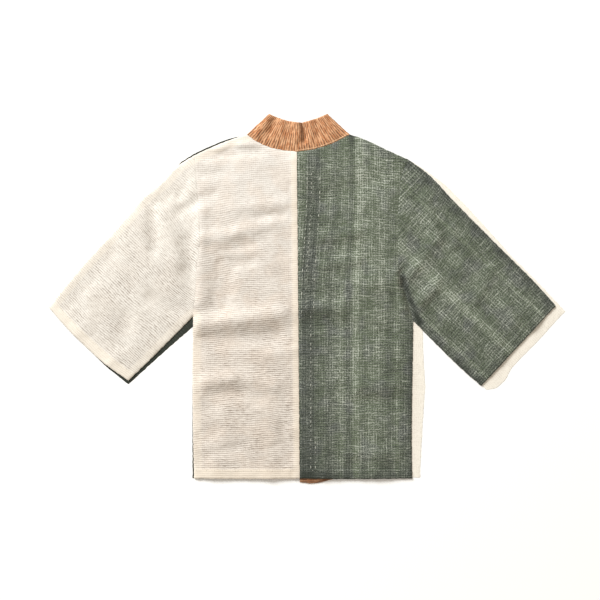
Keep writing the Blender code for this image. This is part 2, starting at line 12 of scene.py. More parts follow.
import bmesh
import bpy
import numpy as np
from bpy.props import FloatProperty, FloatVectorProperty, PointerProperty
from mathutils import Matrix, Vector


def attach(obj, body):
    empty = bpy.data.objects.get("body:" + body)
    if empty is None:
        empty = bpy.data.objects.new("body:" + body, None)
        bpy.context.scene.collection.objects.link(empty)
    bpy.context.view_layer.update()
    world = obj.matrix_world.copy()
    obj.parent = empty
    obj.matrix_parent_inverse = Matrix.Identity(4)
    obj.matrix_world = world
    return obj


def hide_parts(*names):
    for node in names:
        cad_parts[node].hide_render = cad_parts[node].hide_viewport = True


bl_info = {
    "name": "Kimono jacket",
    "version": (1, 0, 0),
    "blender": (4, 5, 0),
    "location": "View3D > Sidebar > Jacket",
    "description": "Makes the cloth, stitches and stage of a kimono jacket laid flat",
    "category": "Add Mesh",
}

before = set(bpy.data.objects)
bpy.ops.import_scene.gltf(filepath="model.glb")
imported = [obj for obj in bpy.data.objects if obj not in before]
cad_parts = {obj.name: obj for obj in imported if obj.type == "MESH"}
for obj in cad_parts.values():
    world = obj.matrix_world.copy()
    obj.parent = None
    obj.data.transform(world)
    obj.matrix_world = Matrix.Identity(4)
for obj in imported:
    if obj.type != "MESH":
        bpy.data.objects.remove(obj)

MM = 0.001
TURN = 2 * math.pi
BODY = "root"
CREAM = "cream_cotton"
GREEN = "green_cotton"
RUST = "rust_cotton"

# The panels of the upper and the lower layer
Panel = namedtuple("Panel", "name node slot columns lies_on")
BACKS = (
    Panel("back_cream", "back_left", CREAM, 52, ("front_left", "band_left")),
    Panel("back_green", "back_right", GREEN, 60, ("front_right", "band_right")),
)
SLEEVE_BACKS = (
    Panel("sleeve_back_cream", "sleeve_left_back", CREAM, 60, ("sleeve_left_front",)),
    Panel("sleeve_back_green", "sleeve_right_back", GREEN, 64, ("sleeve_right_front",)),
)
FRONTS = (
    Panel("front_green", "front_left", GREEN, 36, ("ground",)),
    Panel("front_cream", "front_right", CREAM, 36, ("ground",)),
    Panel("sleeve_front_green", "sleeve_left_front", GREEN, 44, ("ground",)),
    Panel("sleeve_front_cream", "sleeve_right_front", CREAM, 44, ("ground",)),
)
UPPER = [panel.node for panel in (*BACKS, *SLEEVE_BACKS)]
LOWER = [panel.node for panel in FRONTS]
COLLAR = "band_neck"

# Reading an outline from a solid
WELD = 0.02 * MM
UPWARD = 0.3
SEAM_REACH = 1.0 * MM
CENTRE_SEAM_FOOT = 3.0 * MM

# How the layers lie
BAND_THICKNESS = 2.4 * MM
REST = 2.7 * MM
SLEEVE_REST = 1.3 * MM
BODY_HALF = 150.0
ARMHOLE_HALF = 225.0
INNER_REACH = 45.0 * MM
MOUTH_REACH = 70.0 * MM
SOFTNESS = 0.8 * MM
SOFT_RIM = 11.0 * MM
SHOWN_REACH = 32.0 * MM
NECK_ROLL = 10.0 * MM
RIM_WIDTH = 3.4 * MM
SEAM_CLOSING = 0.2 * MM
SEAM_DIP = 0.35 * MM
SEAM_DIP_WIDTH = 1.8 * MM
BAND_TAPER = 5.0 * MM
COLLAR_LEAST = 0.1 * MM
FOOT_REACH = 12.0 * MM

# Ribs: their breadth, how far from an edge they reach their height, and how much flatter they lie
RIB_BREADTH = 0.6
RIB_RISE = 2.5 * MM
BAND_RIB_RISE = 2.0 * MM
DOUBLED_FLATTER = 0.4
EDGE_FLATTER = 0.3
SHOULDER_FLATTER = 0.45
LOWER_RELIEF = 0.5
LOWER_DOUBLED_FLATTER = 0.8
UNDER_RELIEF = 0.6
UNEVEN_LENGTHS = (41.0 * MM, 17.0 * MM)
UNEVEN_SHARE = 0.3

# Slow random waves over the cloth: how strong, how wide, and their seed
Drift = namedtuple("Drift", "strength size seed")
DRIFT_WAVES = 7
DRIFT_LENGTHS = (0.6, 1.6)
SWELLS = (Drift(0.4 * MM, 70 * MM, 3), Drift(0.2 * MM, 28 * MM, 5))
COLLAR_SWELL = Drift(0.25 * MM, 16 * MM, 17)
WANDER = Drift(2.5 * MM, 95 * MM, 11)
WOBBLES = (Drift(0.45 * MM, 12 * MM, 21), Drift(0.45 * MM, 12 * MM, 22))
# How uneven the painted shade along the closed edges is
EDGE_SHADE_DRIFT = Drift(0.5, 40 * MM, 31)

# How far the green front shows past the left shoulder, and between which places
PEEP = 3.9 * MM
PEEP_REACH = 12.0 * MM
PEEP_FROM = -280.0
PEEP_FULL = -225.0
PEEP_LESS = -150.0
PEEP_TO = -112.0
PEEP_ABOVE = 600.0

# The bulge of the right sleeve's front out of its cuff
CUFF_EASE = 6.5 * MM
CUFF_EASE_PLACE = 0.55
CUFF_EASE_REACH = 0.28
CUFF_EASE_DEPTH = 30.0 * MM

# The grid of a piece of cloth
EDGE_OFFSETS = (0.35 * MM, 0.8 * MM, 1.4 * MM, 2.6 * MM)
TIP = 0.3 * MM
HEM_FADE = 45.0 * MM
TOP_FADE = 20.0 * MM
MOUTH_OFFSETS = EDGE_OFFSETS[:3]
STEP_HALF = 1.2 * MM
SEAM_STRIP_STEP = 3 * STEP_HALF
FINE_PHASES = (0.0, 0.32, 0.5, 0.68)
COARSE_PHASES = (0.0, 0.5)

# Folds of the upper layer, from one point to another. A ridge rises, and a trough's rise is below zero
Fold = namedtuple("Fold", "x y end_x end_y spread rise")
FOLDS = (
    # left back, from the shoulder down
    Fold(-172, 690, -80, 703, 9, 2.8),
    Fold(-190, 678, -140, 688, 13, -2.6),
    Fold(-140, 688, -85, 688, 13, -3.2),
    Fold(-200, 640, -160, 640, 14, -2.0),
    Fold(-211, 587, -180, 597, 12, -2.0),
    Fold(-130, 566, -28, 578, 14, 2.2),
    Fold(-84, 548, -34, 553, 11, -2.2),
    Fold(-204, 503, -130, 515, 14, 3.0),
    Fold(-130, 515, -56, 538, 15, 2.6),
    Fold(-160, 478, -92, 492, 12, -2.2),
    Fold(-202, 560, -204, 372, 14, 3.2),
    Fold(-164, 362, -156, 446, 19, -5.5),
    Fold(-150, 446, -100, 458, 14, -3.2),
    Fold(-207, 324, -38, 345, 20, 7.0),
    Fold(-203, 284, -44, 300, 17, -4.0),
    Fold(-64, 257, -12, 268, 13, 2.2),
    Fold(-192, 203, -140, 209, 17, 5.0),
    Fold(-98, 208, -52, 194, 17, 4.4),
    Fold(-186, 170, -120, 178, 16, -3.0),
    Fold(-200, 144, -177, 154, 13, -2.4),
    Fold(-200, 89, -170, 103, 14, -3.0),
    Fold(-161, 56, -130, 65, 13, -2.2),
    Fold(-70, 150, -20, 100, 18, 3.0),
    Fold(-46, 66, -24, 44, 12, -3.2),
    Fold(-207, 43, -186, 49, 12, -2.0),
    Fold(-32, 112, -27, 39, 12, -3.0),
    Fold(-14, 0, -11, 13, 5, -1.6),
    # right back, from the shoulder down
    Fold(60, 590, 170, 628, 22, -2.6),
    Fold(49, 505, 121, 516, 15, 3.6),
    Fold(58, 450, 121, 459, 14, 3.4),
    Fold(129, 406, 192, 417, 26, 3.6),
    Fold(14, 360, 87, 356, 16, 3.4),
    Fold(30, 326, 190, 304, 20, -3.0),
    Fold(129, 194, 200, 194, 17, 3.6),
    Fold(129, 160, 200, 160, 15, -2.6),
    Fold(112, 56, 205, 53, 15, 2.6),
    Fold(204, 430, 222, 360, 10, 3.4),
    Fold(216, 432, 223, 408, 8, -4.0),
    Fold(223, 408, 235, 374, 9, -5.6),
    Fold(235, 374, 252, 331, 9, -5.6),
    Fold(250, 356, 290, 396, 10, 2.4),
    # left sleeve
    Fold(-260, 635, -287, 581, 14, -4.0),
    Fold(-238, 626, -250, 596, 12, -2.6),
    Fold(-217, 576, -249, 560, 12, -2.2),
    Fold(-306, 574, -302, 480, 12, -3.8),
    Fold(-291, 568, -252, 455, 17, 3.8),
    Fold(-232, 500, -222, 386, 17, -3.0),
    Fold(-438, 417, -487, 364, 13, -3.2),
    Fold(-392, 480, -438, 427, 17, -2.0),
    Fold(-360, 333, -370, 287, 20, -2.6),
    Fold(-308, 375, -266, 354, 18, -2.6),
    # right sleeve
    Fold(268, 585, 293, 505, 14, 4.0),
    Fold(284, 494, 251, 450, 15, 3.2),
    Fold(246, 442, 234, 422, 12, 3.2),
    Fold(291, 415, 254, 374, 11, 3.4),
    Fold(404, 434, 373, 377, 15, 3.0),
    Fold(322, 526, 329, 490, 10, 2.4),
    Fold(360, 500, 345, 440, 16, 2.0),
    Fold(440, 364, 455, 329, 14, 2.6),
    Fold(385, 333, 423, 291, 14, 2.4),
    # waves of the hem and the cuffs
    Fold(-178, 0, -176, 40, 18, 1.6),
    Fold(-122, 0, -124, 25, 14, -1.2),
    Fold(-62, 0, -60, 40, 18, 1.8),
    Fold(52, 0, 50, 30, 16, 1.5),
    Fold(110, 0, 112, 30, 15, -1.2),
    Fold(176, 0, 174, 40, 20, 1.7),
    Fold(-470, 300, -440, 330, 18, 1.7),
    Fold(-400, 238, -380, 260, 16, 1.7),
    Fold(500, 320, 470, 345, 18, 1.9),
    Fold(430, 243, 405, 270, 20, 1.9),
)

# Places where the cloth is pulled so that its ribs drop, or rise where the drop is below zero
Pull = namedtuple("Pull", "x y reach_x reach_y drop")
PULLS = (
    Pull(-225, 500, 75, 130, 12),
    Pull(-205, 330, 50, 40, 4),
    Pull(-35, 95, 28, 34, 5),
    Pull(-42, 175, 30, 25, -4),
    Pull(-120, 250, 50, 30, -3),
    Pull(235, 600, 75, 120, 13),
    Pull(200, 300, 60, 60, -4),
    Pull(60, 160, 60, 50, 3),
    Pull(-235, 330, 60, 45, -10),
    Pull(-430, 330, 60, 60, 4),
    Pull(300, 480, 60, 80, 6),
    Pull(430, 330, 60, 60, -4),
)

# The tone of a whole piece, set against its cloth's plain tone. Below zero is darker. The green fronts are
# darkened as painted shadow of the upper layer, and the cream fronts paled as painted light, where they
# show
TONES_AND_SHADING = {
    "back_right": -0.05,
    "sleeve_right_back": -0.1,
    "sleeve_left_back": 0.3,
    "front_left": -1.3,
    "sleeve_left_front": -1.3,
    "front_right": 1.0,
    "sleeve_right_front": 1.0,
}

# Stripes of the green cloth, from the left end of its hem or cuff
Stripe = namedtuple("Stripe", "x width tone")
STRIPES = {
    "back_right": (
        Stripe(8, 8, -0.55),
        Stripe(23, 9, -0.55),
        Stripe(38, 6, -0.15),
        Stripe(62, 12, -0.3),
        Stripe(86, 5, 0.2),
        Stripe(102, 6, -0.3),
        Stripe(119, 8, 0.6),
        Stripe(150, 14, 0.2),
        Stripe(187, 6, -0.15),
        Stripe(204, 3, 0.3),
    ),
    "sleeve_right_back": (
        Stripe(22, 2.5, 0.4),
        Stripe(70, 12, -0.15),
        Stripe(96, 9, 0.5),
        Stripe(150, 10, 0.15),
        Stripe(196, 2.5, 0.5),
    ),
}

# The green cloth is darker at its hem and cuff. Along its closed edges it is darkened as painted shade
# where the edges roll away, and under the right arm as painted shade in the crease
EDGE_SHADES = {"back_right": 0.4, "sleeve_right_back": 0.55}
EDGE_SHADE_REACH = 18.0 * MM
MOUTH_TONES = {"back_right": 0.65, "sleeve_right_back": 0.25}
MOUTH_TONE_REACH = 25.0 * MM
UNDERARM_CREASE_SHADE = (Fold(219, 424, 234, 377, 6, 0.8), Fold(234, 377, 254, 329, 7, 1.0))

# How far towards the shoulder a point of the back lies, from 0 at the first height to 1 at the second.
# Towards the shoulder the cream grooves are fainter, the ribs flatter and the warm patches weaker, and the
# back is painted paler as painted light; towards the hem it is painted darker as painted shade
SHOULDER_FROM = 150.0
SHOULDER_TO = 760.0
# The sleeves take this share all over, so their cream gets only weak warm patches and none of the back's
# painted shade near the hem
SLEEVE_SHOULDER = 1.6

# How strong the colour of the cream grooves is at the hem, and how much weaker at the shoulder
BACK_GRAINY = 1.1
BACK_GRAINY_LESS = 0.7
SLEEVE_GRAINY_LESS = 0.45
SLEEVE_PLAIN_FROM = 480.0
SLEEVE_PLAIN_TO = 660.0

# The flatter strip along a closed edge is coloured as doubled cloth to this share
EDGE_DOUBLED = 0.6

# How much paler the green back is painted towards the shoulder, as painted light, and how far towards the
# shoulder it keeps its tone; below that it is painted darker, as painted shade
GREEN_PAINTED_LIGHT = 0.2
GREEN_PAINTED_LIGHT_MIDDLE = 0.2

# The warp of the green back leans near the centre back seam
LEAN = 13.0 * MM
LEAN_PLACE = 40.0
LEAN_REACH = 90.0
LEAN_FROM = 370.0
LEAN_TO = 620.0

# Pale warp threads that float over the green back, from the foot of the centre back seam
Float = namedtuple("Float", "x start end")
FLOATS = (
    Float(7.4, 350, 640),
    Float(15.8, 350, 640),
    Float(32.6, 350, 640),
    Float(26.5, 24, 350),
    Float(36, 24, 100),
)
FLOAT_STEP = 4.0

# Folds of the collar, from its free edge down
COLLAR_FOLDS = (
    Fold(10, 751, 14, 723, 6, -6.5),
    Fold(14, 723, 12, 708, 5, -4.5),
    Fold(-4, 748, 0, 718, 12, 5.2),
    Fold(24, 748, 28, 714, 9, 1.6),
    Fold(-46, 760, -60, 728, 7, -2.6),
    Fold(-64, 756, -84, 724, 10, 3.2),
    Fold(-32, 750, -40, 715, 9, 1.6),
    Fold(38, 752, 44, 722, 7, -1.6),
    Fold(56, 758, 74, 730, 10, 2.2),
    Fold(84, 748, 98, 728, 7, -1.4),
)

# Painted shade on the band: in the collar's deepest crease, and on the foot, in the hem's shadow
BAND_SHADE_FOLDS = (
    Fold(5, 751, 9, 727, 4.5, 0.45),
    Fold(9, 727, 9, 712, 3.5, 0.35),
    Fold(0, -8, 70, -8, 14, 0.62),
)

# Stitches: from one to the next, their length, width and height, and how uneven they are
Stitch = namedtuple("Stitch", "pitch length width height unevenness")
HEM_STITCH = Stitch(5.5 * MM, 3.0 * MM, 0.6 * MM, 0.5 * MM, 0.8)
FLOAT_STITCH = Stitch(9.4 * MM, 7.6 * MM, 1.7 * MM, 1.1 * MM, 0.75)
NECK_STITCH = Stitch(3.4 * MM, 3.4 * MM, 2.2 * MM, 1.3 * MM, 0.3)
STITCH_STEP = 4.0 * MM
STITCH_SEED = 7
BEAD = {"Segments": 6, "Rings": 4, "Radius": 0.5}

# Rows of hem stitches: on which pieces, and between which shares of the hem or cuff
HEM_ROWS = {
    "hem_stitches_cream": (CREAM, (("back_left", 0.02, 0.94), ("sleeve_left_back", 0.03, 0.97))),
    "hem_stitches_green": (GREEN, (("back_right", 0.02, 0.97), ("sleeve_right_back", 0.03, 0.97))),
}
HEM_ROW_INSET = 2.5 * MM
HEM_ROW_LIFT = 0.3 * MM

# The row above the neck seam, on the right: how deep, and between which shares of the seam
NECK_ROW_DEPTH = 2.0 * MM
NECK_ROW_START = 0.5
NECK_ROW_END = 0.98
THREAD_LIFT = 0.4 * MM


# Outlines


def outline(node):
    """The rim of a solid's upper face, counter-clockwise seen from above."""
    shape = bmesh.new()
    shape.from_mesh(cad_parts[node].data)
    bmesh.ops.remove_doubles(shape, verts=shape.verts, dist=WELD)
    lower = [face for face in shape.faces if face.normal.z < UPWARD]
    bmesh.ops.delete(shape, geom=lower, context="FACES")
    loops = [edge.link_loops[0] for edge in shape.edges if edge.is_boundary]
    ahead = {loop.vert: loop.link_loop_next.vert for loop in loops}
    ring = [loops[0].vert]
    while ahead[ring[-1]] != ring[0]:
        ring.append(ahead[ring[-1]])
    points = np.array([vert.co.xy for vert in ring])
    shape.free()
    return points


def turned(points, angle):
    """Plan points turned about the origin."""
    cos, sin = math.cos(angle), math.sin(angle)
    return points @ np.array([[cos, sin], [-sin, cos]])


def furthest(ring, x, y):
    """Index of the outline's point that lies furthest this way."""
    return int(np.argmax(ring @ np.array([x, y], float)))


def stretch(ring, start, end):
    """The outline's points from one corner to another, the way it runs."""
    count = (end - start) % len(ring)
    return ring[(start + np.arange(count + 1)) % len(ring)]


def edge_between(ring, ways):
    """The outline's points between the two that lie furthest these two ways."""
    start, end = ways
    return stretch(ring, furthest(ring, *start), furthest(ring, *end))


def segments(line, closed=False):
    """The straight parts of a line, each as its two ends."""
    pairs = np.stack([line, np.roll(line, -1, axis=0)], axis=1)
    return pairs if closed else pairs[:-1]


def distance(plan, start, end):
    """From each plan point to the straight line between two points."""
    along = end - start
    share = np.clip(((plan - start) @ along) / (along @ along), 0.0, 1.0)
    return np.linalg.norm(plan - start - share[..., None] * along, axis=-1)


def nearest(plan, parts):
    """From each plan point to the nearest of several straight parts."""
    least = np.full(plan.shape[:-1], np.inf)
    for start, end in parts:
        least = np.minimum(least, distance(plan, start, end))
    return least


RINGS = {node: outline(node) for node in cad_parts}


def grain(node):
    """How far a piece is turned to bring its hem or cuff level and at the bottom."""
    ring = RINGS[node]
    low = ring[furthest(ring, 0, -1)]
    if node.startswith("sleeve_left"):
        out = ring[furthest(ring, -1, 0)]
        return math.atan2(out[1] - low[1], low[0] - out[0])
    if node.startswith("sleeve_right"):
        out = ring[furthest(ring, 1, 0)]
        return -math.atan2(out[1] - low[1], out[0] - low[0])
    return 0.0


def mouth(node):
    """The hem or cuff of a piece, from its left end to its right end."""
    ring = RINGS[node]
    level = turned(ring, grain(node))
    return stretch(ring, furthest(level, -1, -1), furthest(level, 1, -1))


def neck():
    """The collar's edge that is sewn on, from left to right."""
    return edge_between(RINGS[COLLAR], ((-1, 0), (1, 0)))


def parts_of(nodes):
    """The straight edge parts of several pieces."""
    return [part for node in nodes for part in segments(RINGS[node], True)]


def touches(part, others):
    """Whether the middle of an edge part lies on one of the others."""
    return nearest(part.mean(axis=0)[None], others)[0] < SEAM_REACH


Edges = namedtuple("Edges", "closed mouths seams")


def edges_of(nodes, sewn_on):
    """A layer's edge parts: its closed edges, its mouths, and its seams."""
    mouths = [part for node in nodes for part in segments(mouth(node))]
    closed, seams = [], []
    for node in nodes:
        neighbours = parts_of(other for other in (*nodes, *sewn_on) if other != node)
        for part in parts_of([node]):
            if not touches(part, segments(mouth(node))):
                (seams if touches(part, neighbours) else closed).append(part)
    return Edges(closed, mouths, seams)


def shared_edge(node, *others):
    """The edge parts of a piece that are sewn to other pieces."""
    neighbours = parts_of(others)
    return [part for part in parts_of([node]) if touches(part, neighbours)]


UPPER_EDGES = edges_of(UPPER, [COLLAR])
LOWER_EDGES = edges_of(LOWER, ["band_left", "band_right"])
CENTRE_SEAM = shared_edge("back_left", "back_right")
NECK_SEAM = [part for node in ("back_left", "back_right") for part in shared_edge(node, COLLAR)]
FOOT = mouth("back_left")[-1] - np.array([CENTRE_SEAM_FOOT, 0.0])


def place(x, y):
    """A plan point from millimetres on the garment."""
    return FOOT + np.array([x, y]) * MM


# How the cloth lies


def smoothstep(low, high, value):
    """0 below low, 1 above high, and smooth between."""
    share = np.clip((value - low) / (high - low), 0.0, 1.0)
    return share * share * (3.0 - 2.0 * share)


def hump(away):
    """1 at no distance, fading smoothly to both sides and nearly 0 from 2 on."""
    return np.exp(-(away**2))


def folded(plan, fold):
    """The rise of a fold over the plan: full on its line, and fading over its spread."""
    away = distance(plan, place(fold.x, fold.y), place(fold.end_x, fold.end_y))
    return fold.rise * hump(away / (fold.spread * MM))


def drift(plan, kind):
    """A slow random wave over the cloth, mostly within its strength to both sides."""
    draw = np.random.default_rng(kind.seed)
    total = np.zeros(plan.shape[:-1])
    for _ in range(DRIFT_WAVES):
        way = draw.uniform(0, TURN)
        length = kind.size * draw.uniform(*DRIFT_LENGTHS)
        start = draw.uniform(0, TURN)
        total += np.sin(TURN * (plan @ np.array([math.cos(way), math.sin(way)])) / length + start)
    return kind.strength * (total / math.sqrt(2 * DRIFT_WAVES))


def sway(plan):
    """How far the ribs are pulled along the warp."""
    total = drift(plan, WANDER)
    for pull in PULLS:
        away = (plan - place(pull.x, pull.y)) / (np.array([pull.reach_x, pull.reach_y]) * MM)
        total = total - pull.drop * MM * np.exp(-np.sum(away**2, axis=-1))
    return total


def wobbled(plan):
    """The plan with the small unevenness of hand-woven cloth."""
    return plan + np.stack([drift(plan, wobble) for wobble in WOBBLES], axis=-1)


def lean(plan):
    """How far the warp leans to the right towards the neck."""
    x, y = np.moveaxis((plan - FOOT) / MM, -1, 0)
    return LEAN * hump((x - LEAN_PLACE) / LEAN_REACH) * smoothstep(LEAN_FROM, LEAN_TO, y)


def lie(plan):
    """Height of the upper layer's underside."""
    cloth = bpy.context.scene.jacket_cloth
    to_closed = nearest(plan, UPPER_EDGES.closed)
    inner = 1.0 - np.exp(-to_closed / INNER_REACH)
    from_mouth = 1.0 - np.exp(-nearest(plan, UPPER_EDGES.mouths) / MOUTH_REACH)
    height = cloth.edge_loft + (cloth.loft - cloth.edge_loft) * inner * from_mouth
    for fold in FOLDS:
        height = height + MM * folded(plan, fold)
    for swell in SWELLS:
        height = height + drift(plan, swell)
    height = (height + np.sqrt(height**2 + SOFTNESS**2)) / 2
    to_neck = 1.0 - np.exp(-nearest(plan, NECK_SEAM) / NECK_ROLL)
    from_centre = np.abs(plan[..., 0] - FOOT[0]) / MM
    rest = REST + (SLEEVE_REST - REST) * smoothstep(BODY_HALF, ARMHOLE_HALF, from_centre)
    return rest + height * to_neck * (1.0 - np.exp(-to_closed / cloth.roll))


# Grids


# A grid of points: their plan, their place along the weft, their place in ribs, and how far up they are
Weave = namedtuple("Weave", "plan across along from_mouth")


def column_shares(width, columns):
    """Where columns lie across a piece: close together at its two edges, then even."""
    edge = np.array([0.0, *EDGE_OFFSETS]) / width
    return np.concatenate([edge[:-1], np.linspace(edge[-1], 1 - edge[-1], columns), 1 - edge[-2::-1]])


def rib_rows(length, pitch, phases):
    """Where rows lie along a piece: close together at its mouth, then at set places of each rib."""
    counts = np.arange(math.ceil(length / pitch))[:, None]
    rows = ((counts + np.array(phases)) * pitch).ravel()
    rows = rows[(rows > MOUTH_OFFSETS[-1]) & (rows < length - TIP)]
    return np.concatenate([[0.0], MOUTH_OFFSETS, rows, [length - TIP]])


def closed_up(plan, seams):
    """The plan with its edges at seams moved outwards, so that neighbours touch."""
    moved = plan.copy()
    for rim, inner in ((0, 1), (-1, -2)):
        out = plan[:, rim] - plan[:, inner]
        out = out / np.linalg.norm(out, axis=1)[:, None]
        sewn = nearest(plan[:, rim], seams) < SEAM_REACH
        moved[:, rim] += SEAM_CLOSING * out * sewn[:, None]
    return moved


def woven(node, pitch, phases, columns):
    """A piece's plan in rows that follow its ribs from its mouth up, and columns from left to right."""
    turn = grain(node)
    ring = turned(RINGS[node], turn)
    low_left, low_right, top = furthest(ring, -1, -1), furthest(ring, 1, -1), furthest(ring, 0, 1)
    hem = stretch(ring, low_left, low_right)
    right = stretch(ring, low_right, top)
    left = stretch(ring, top, low_left)[::-1]
    level = hem[:, 1].mean()
    length = ring[top][1] - level
    up = rib_rows(length, pitch, phases)[:, None]
    fade = np.exp(-up / HEM_FADE)
    shares = column_shares(hem[-1][0] - hem[0][0], columns)[None]

    def spread_out(left_y, right_y):
        left_x = np.interp(left_y, np.maximum.accumulate(left[:, 1]), left[:, 0])
        right_x = np.interp(right_y, np.maximum.accumulate(right[:, 1]), right[:, 0])
        return left_x + (right_x - left_x) * shares

    left_y = level + up + fade * (hem[0][1] - level)
    right_y = level + up + fade * (hem[-1][1] - level)
    x = spread_out(left_y, right_y)
    hem_x = hem[0][0] + (hem[-1][0] - hem[0][0]) * shares
    y = level + up + fade * (np.interp(hem_x, hem[:, 0], hem[:, 1]) - level)
    pulled = sway(turned(np.stack([x, y], axis=-1), -turn))
    pulled *= (1 - fade) * (1 - np.exp(-(length - up) / TOP_FADE))
    x = spread_out(left_y + pulled[:, :1], right_y + pulled[:, -1:])
    plan = turned(np.stack([x, y + pulled], axis=-1), -turn)
    up = np.broadcast_to(up, x.shape)
    return Weave(plan, x - hem[0][0], up / pitch, up)


def run_of(line):
    """How far along a line each of its points is."""
    steps = np.linalg.norm(np.diff(line, axis=0), axis=1)
    return np.concatenate([[0.0], np.cumsum(steps)])


def sampled(line, shares):
    """Points on a line at shares of its length."""
    run = run_of(line)
    return np.column_stack([np.interp(shares, run / run[-1], line[:, axis]) for axis in (0, 1)])


def strip(left, right, pitch, phases, columns):
    """A band's plan in rows across it, between its two long edges."""
    even = np.linspace(0.0, 1.0, len(left))
    width = np.linalg.norm(sampled(left, even) - sampled(right, even), axis=1).mean()
    length = (run_of(left)[-1] + run_of(right)[-1]) / 2
    rows = rib_rows(length, pitch, phases)
    rows[-1] = length
    along = rows / length
    shares = column_shares(width, columns)[None, :, None]
    plan = (1 - shares) * sampled(left, along)[:, None] + shares * sampled(right, along)[:, None]
    across = np.broadcast_to(shares[..., 0] * width, plan.shape[:2])
    rib = np.broadcast_to((rows / pitch)[:, None], plan.shape[:2])
    return Weave(plan, across, rib, rib * pitch)


# Meshes


def linked(name, data):
    """A new object in the scene."""
    made = bpy.data.objects.new(name, data)
    bpy.context.scene.collection.objects.link(made)
    return made


def shell(name, weave, low, high, marks, slot):
    """A closed wall of cloth, whose two faces meet at its rim. Marks are named values of its points."""
    rows, columns = weave.plan.shape[:2]
    upper = np.arange(rows * columns).reshape(rows, columns)
    under = upper.copy()
    off_rim = np.arange((rows - 2) * (columns - 2)).reshape(rows - 2, columns - 2)
    under[1:-1, 1:-1] = rows * columns + off_rim

    def both(values):
        return np.concatenate([values.ravel(), values[1:-1, 1:-1].ravel()])

    x, y = both(weave.plan[..., 0]), both(weave.plan[..., 1])
    z = np.concatenate([high.ravel(), low[1:-1, 1:-1].ravel()])
    faces = []
    for grid, order in ((upper, (0, 1, 2, 3)), (under, (3, 2, 1, 0))):
        corners = (grid[:-1, :-1], grid[:-1, 1:], grid[1:, 1:], grid[1:, :-1])
        faces.append(np.stack([corners[k] for k in order], axis=-1).reshape(-1, 4))
    faces = np.concatenate(faces)
    mesh = bpy.data.meshes.new(name)
    mesh.vertices.add(len(x))
    mesh.vertices.foreach_set("co", np.column_stack([x, y, z]).astype(np.float32).ravel())
    mesh.loops.add(faces.size)
    mesh.loops.foreach_set("vertex_index", faces.astype(np.int32).ravel())
    mesh.polygons.add(len(faces))
    mesh.polygons.foreach_set("loop_start", np.arange(0, faces.size, 4, dtype=np.int32))
    mesh.update(calc_edges=True)
    threads = np.column_stack([both(weave.across), both(weave.along)])
    weave_map = mesh.uv_layers.new(name="weave")
    weave_map.data.foreach_set("uv", threads[faces.ravel()].astype(np.float32).ravel())
    for mark, values in marks.items():
        layer = mesh.attributes.new(mark, "FLOAT", "POINT")
        layer.data.foreach_set("value", both(values).astype(np.float32))
    mesh.materials.append(finish_of(slot))
    mesh.shade_smooth()
    mesh.validate()
    return linked(name, mesh)


def rounded(thickness, away, width):
    """Height of a wall over its underside, which falls to its rim in a curve of this width."""
    inwards = 1.0 - np.clip(away / width, 0.0, 1.0)
    return thickness * np.sqrt(1.0 - inwards**2)


def ribs(along):
    """Height of a rib, from 0 in its groove at each half number to 1 on its broad crest."""
    return ((1.0 + np.cos(TURN * along)) / 2) ** RIB_BREADTH


def unevenness(weave, seed):
    """How strongly each rib stands out along its length."""
    draw = np.random.default_rng(seed)
    rib = np.round(weave.along).astype(int)
    phases = draw.uniform(0, TURN, (rib.max() + 1, len(UNEVEN_LENGTHS)))
    product = 1.0
    for length, phase in zip(UNEVEN_LENGTHS, np.moveaxis(phases[rib], -1, 0)):
        product = product * np.sin(TURN * weave.across / length + phase)
    return 1.0 + UNEVEN_SHARE * product


def near(away, width, step=STEP_HALF):
    """1 where a distance is within a width, falling to 0 over a step."""
    return 1.0 - smoothstep(-step, step, away - width)


def declare(piece, node, cut):
    """Puts a piece on the body in the place of its solid, and hides the solid. Its cut, the sheet it was
    cut from, is not used.
    """
    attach(piece, BODY)
    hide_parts(node)


def area_of(ring):
    """The area inside an outline."""
    x, y = ring[:, 0], ring[:, 1]
    return 0.5 * abs(np.sum(x * np.roll(y, -1) - y * np.roll(x, -1)))


def panel_cut(node, hem):
    """Width, length and area of the flat cloth that a panel was cut from, with its turned-up hem."""
    ring = turned(RINGS[node], grain(node))
    width, length = np.ptp(ring, axis=0)
    edge = mouth(node)
    return width, length + hem, area_of(ring) + hem * np.linalg.norm(edge[-1] - edge[0])


def pitch_of(slot):
    """From one rib of a cloth to the next."""
    cloth = bpy.context.scene.jacket_cloth
    return {CREAM: cloth.cream_pitch, GREEN: cloth.green_pitch, RUST: cloth.band_pitch}[slot]


def tone(node, weave):
    """How much paler or darker the cloth is on the whole and in its stripes. On the fronts it is painted
    shadow on the green and painted light on the cream.
    """
    shift = lean(weave.plan) if node == "back_right" else 0.0
    total = np.full(weave.across.shape, TONES_AND_SHADING.get(node, 0.0))
    for stripe in STRIPES.get(node, ()):
        away = (weave.across - shift) / MM - stripe.x
        total += stripe.tone * hump(away / stripe.width)
    return total


def creased(plan, folds):
    """Painted shade: how much darker the cloth is painted in its deepest creases, and on the band's foot
    under the hem.
    """
    return np.max([folded(plan, fold) for fold in folds], axis=0)


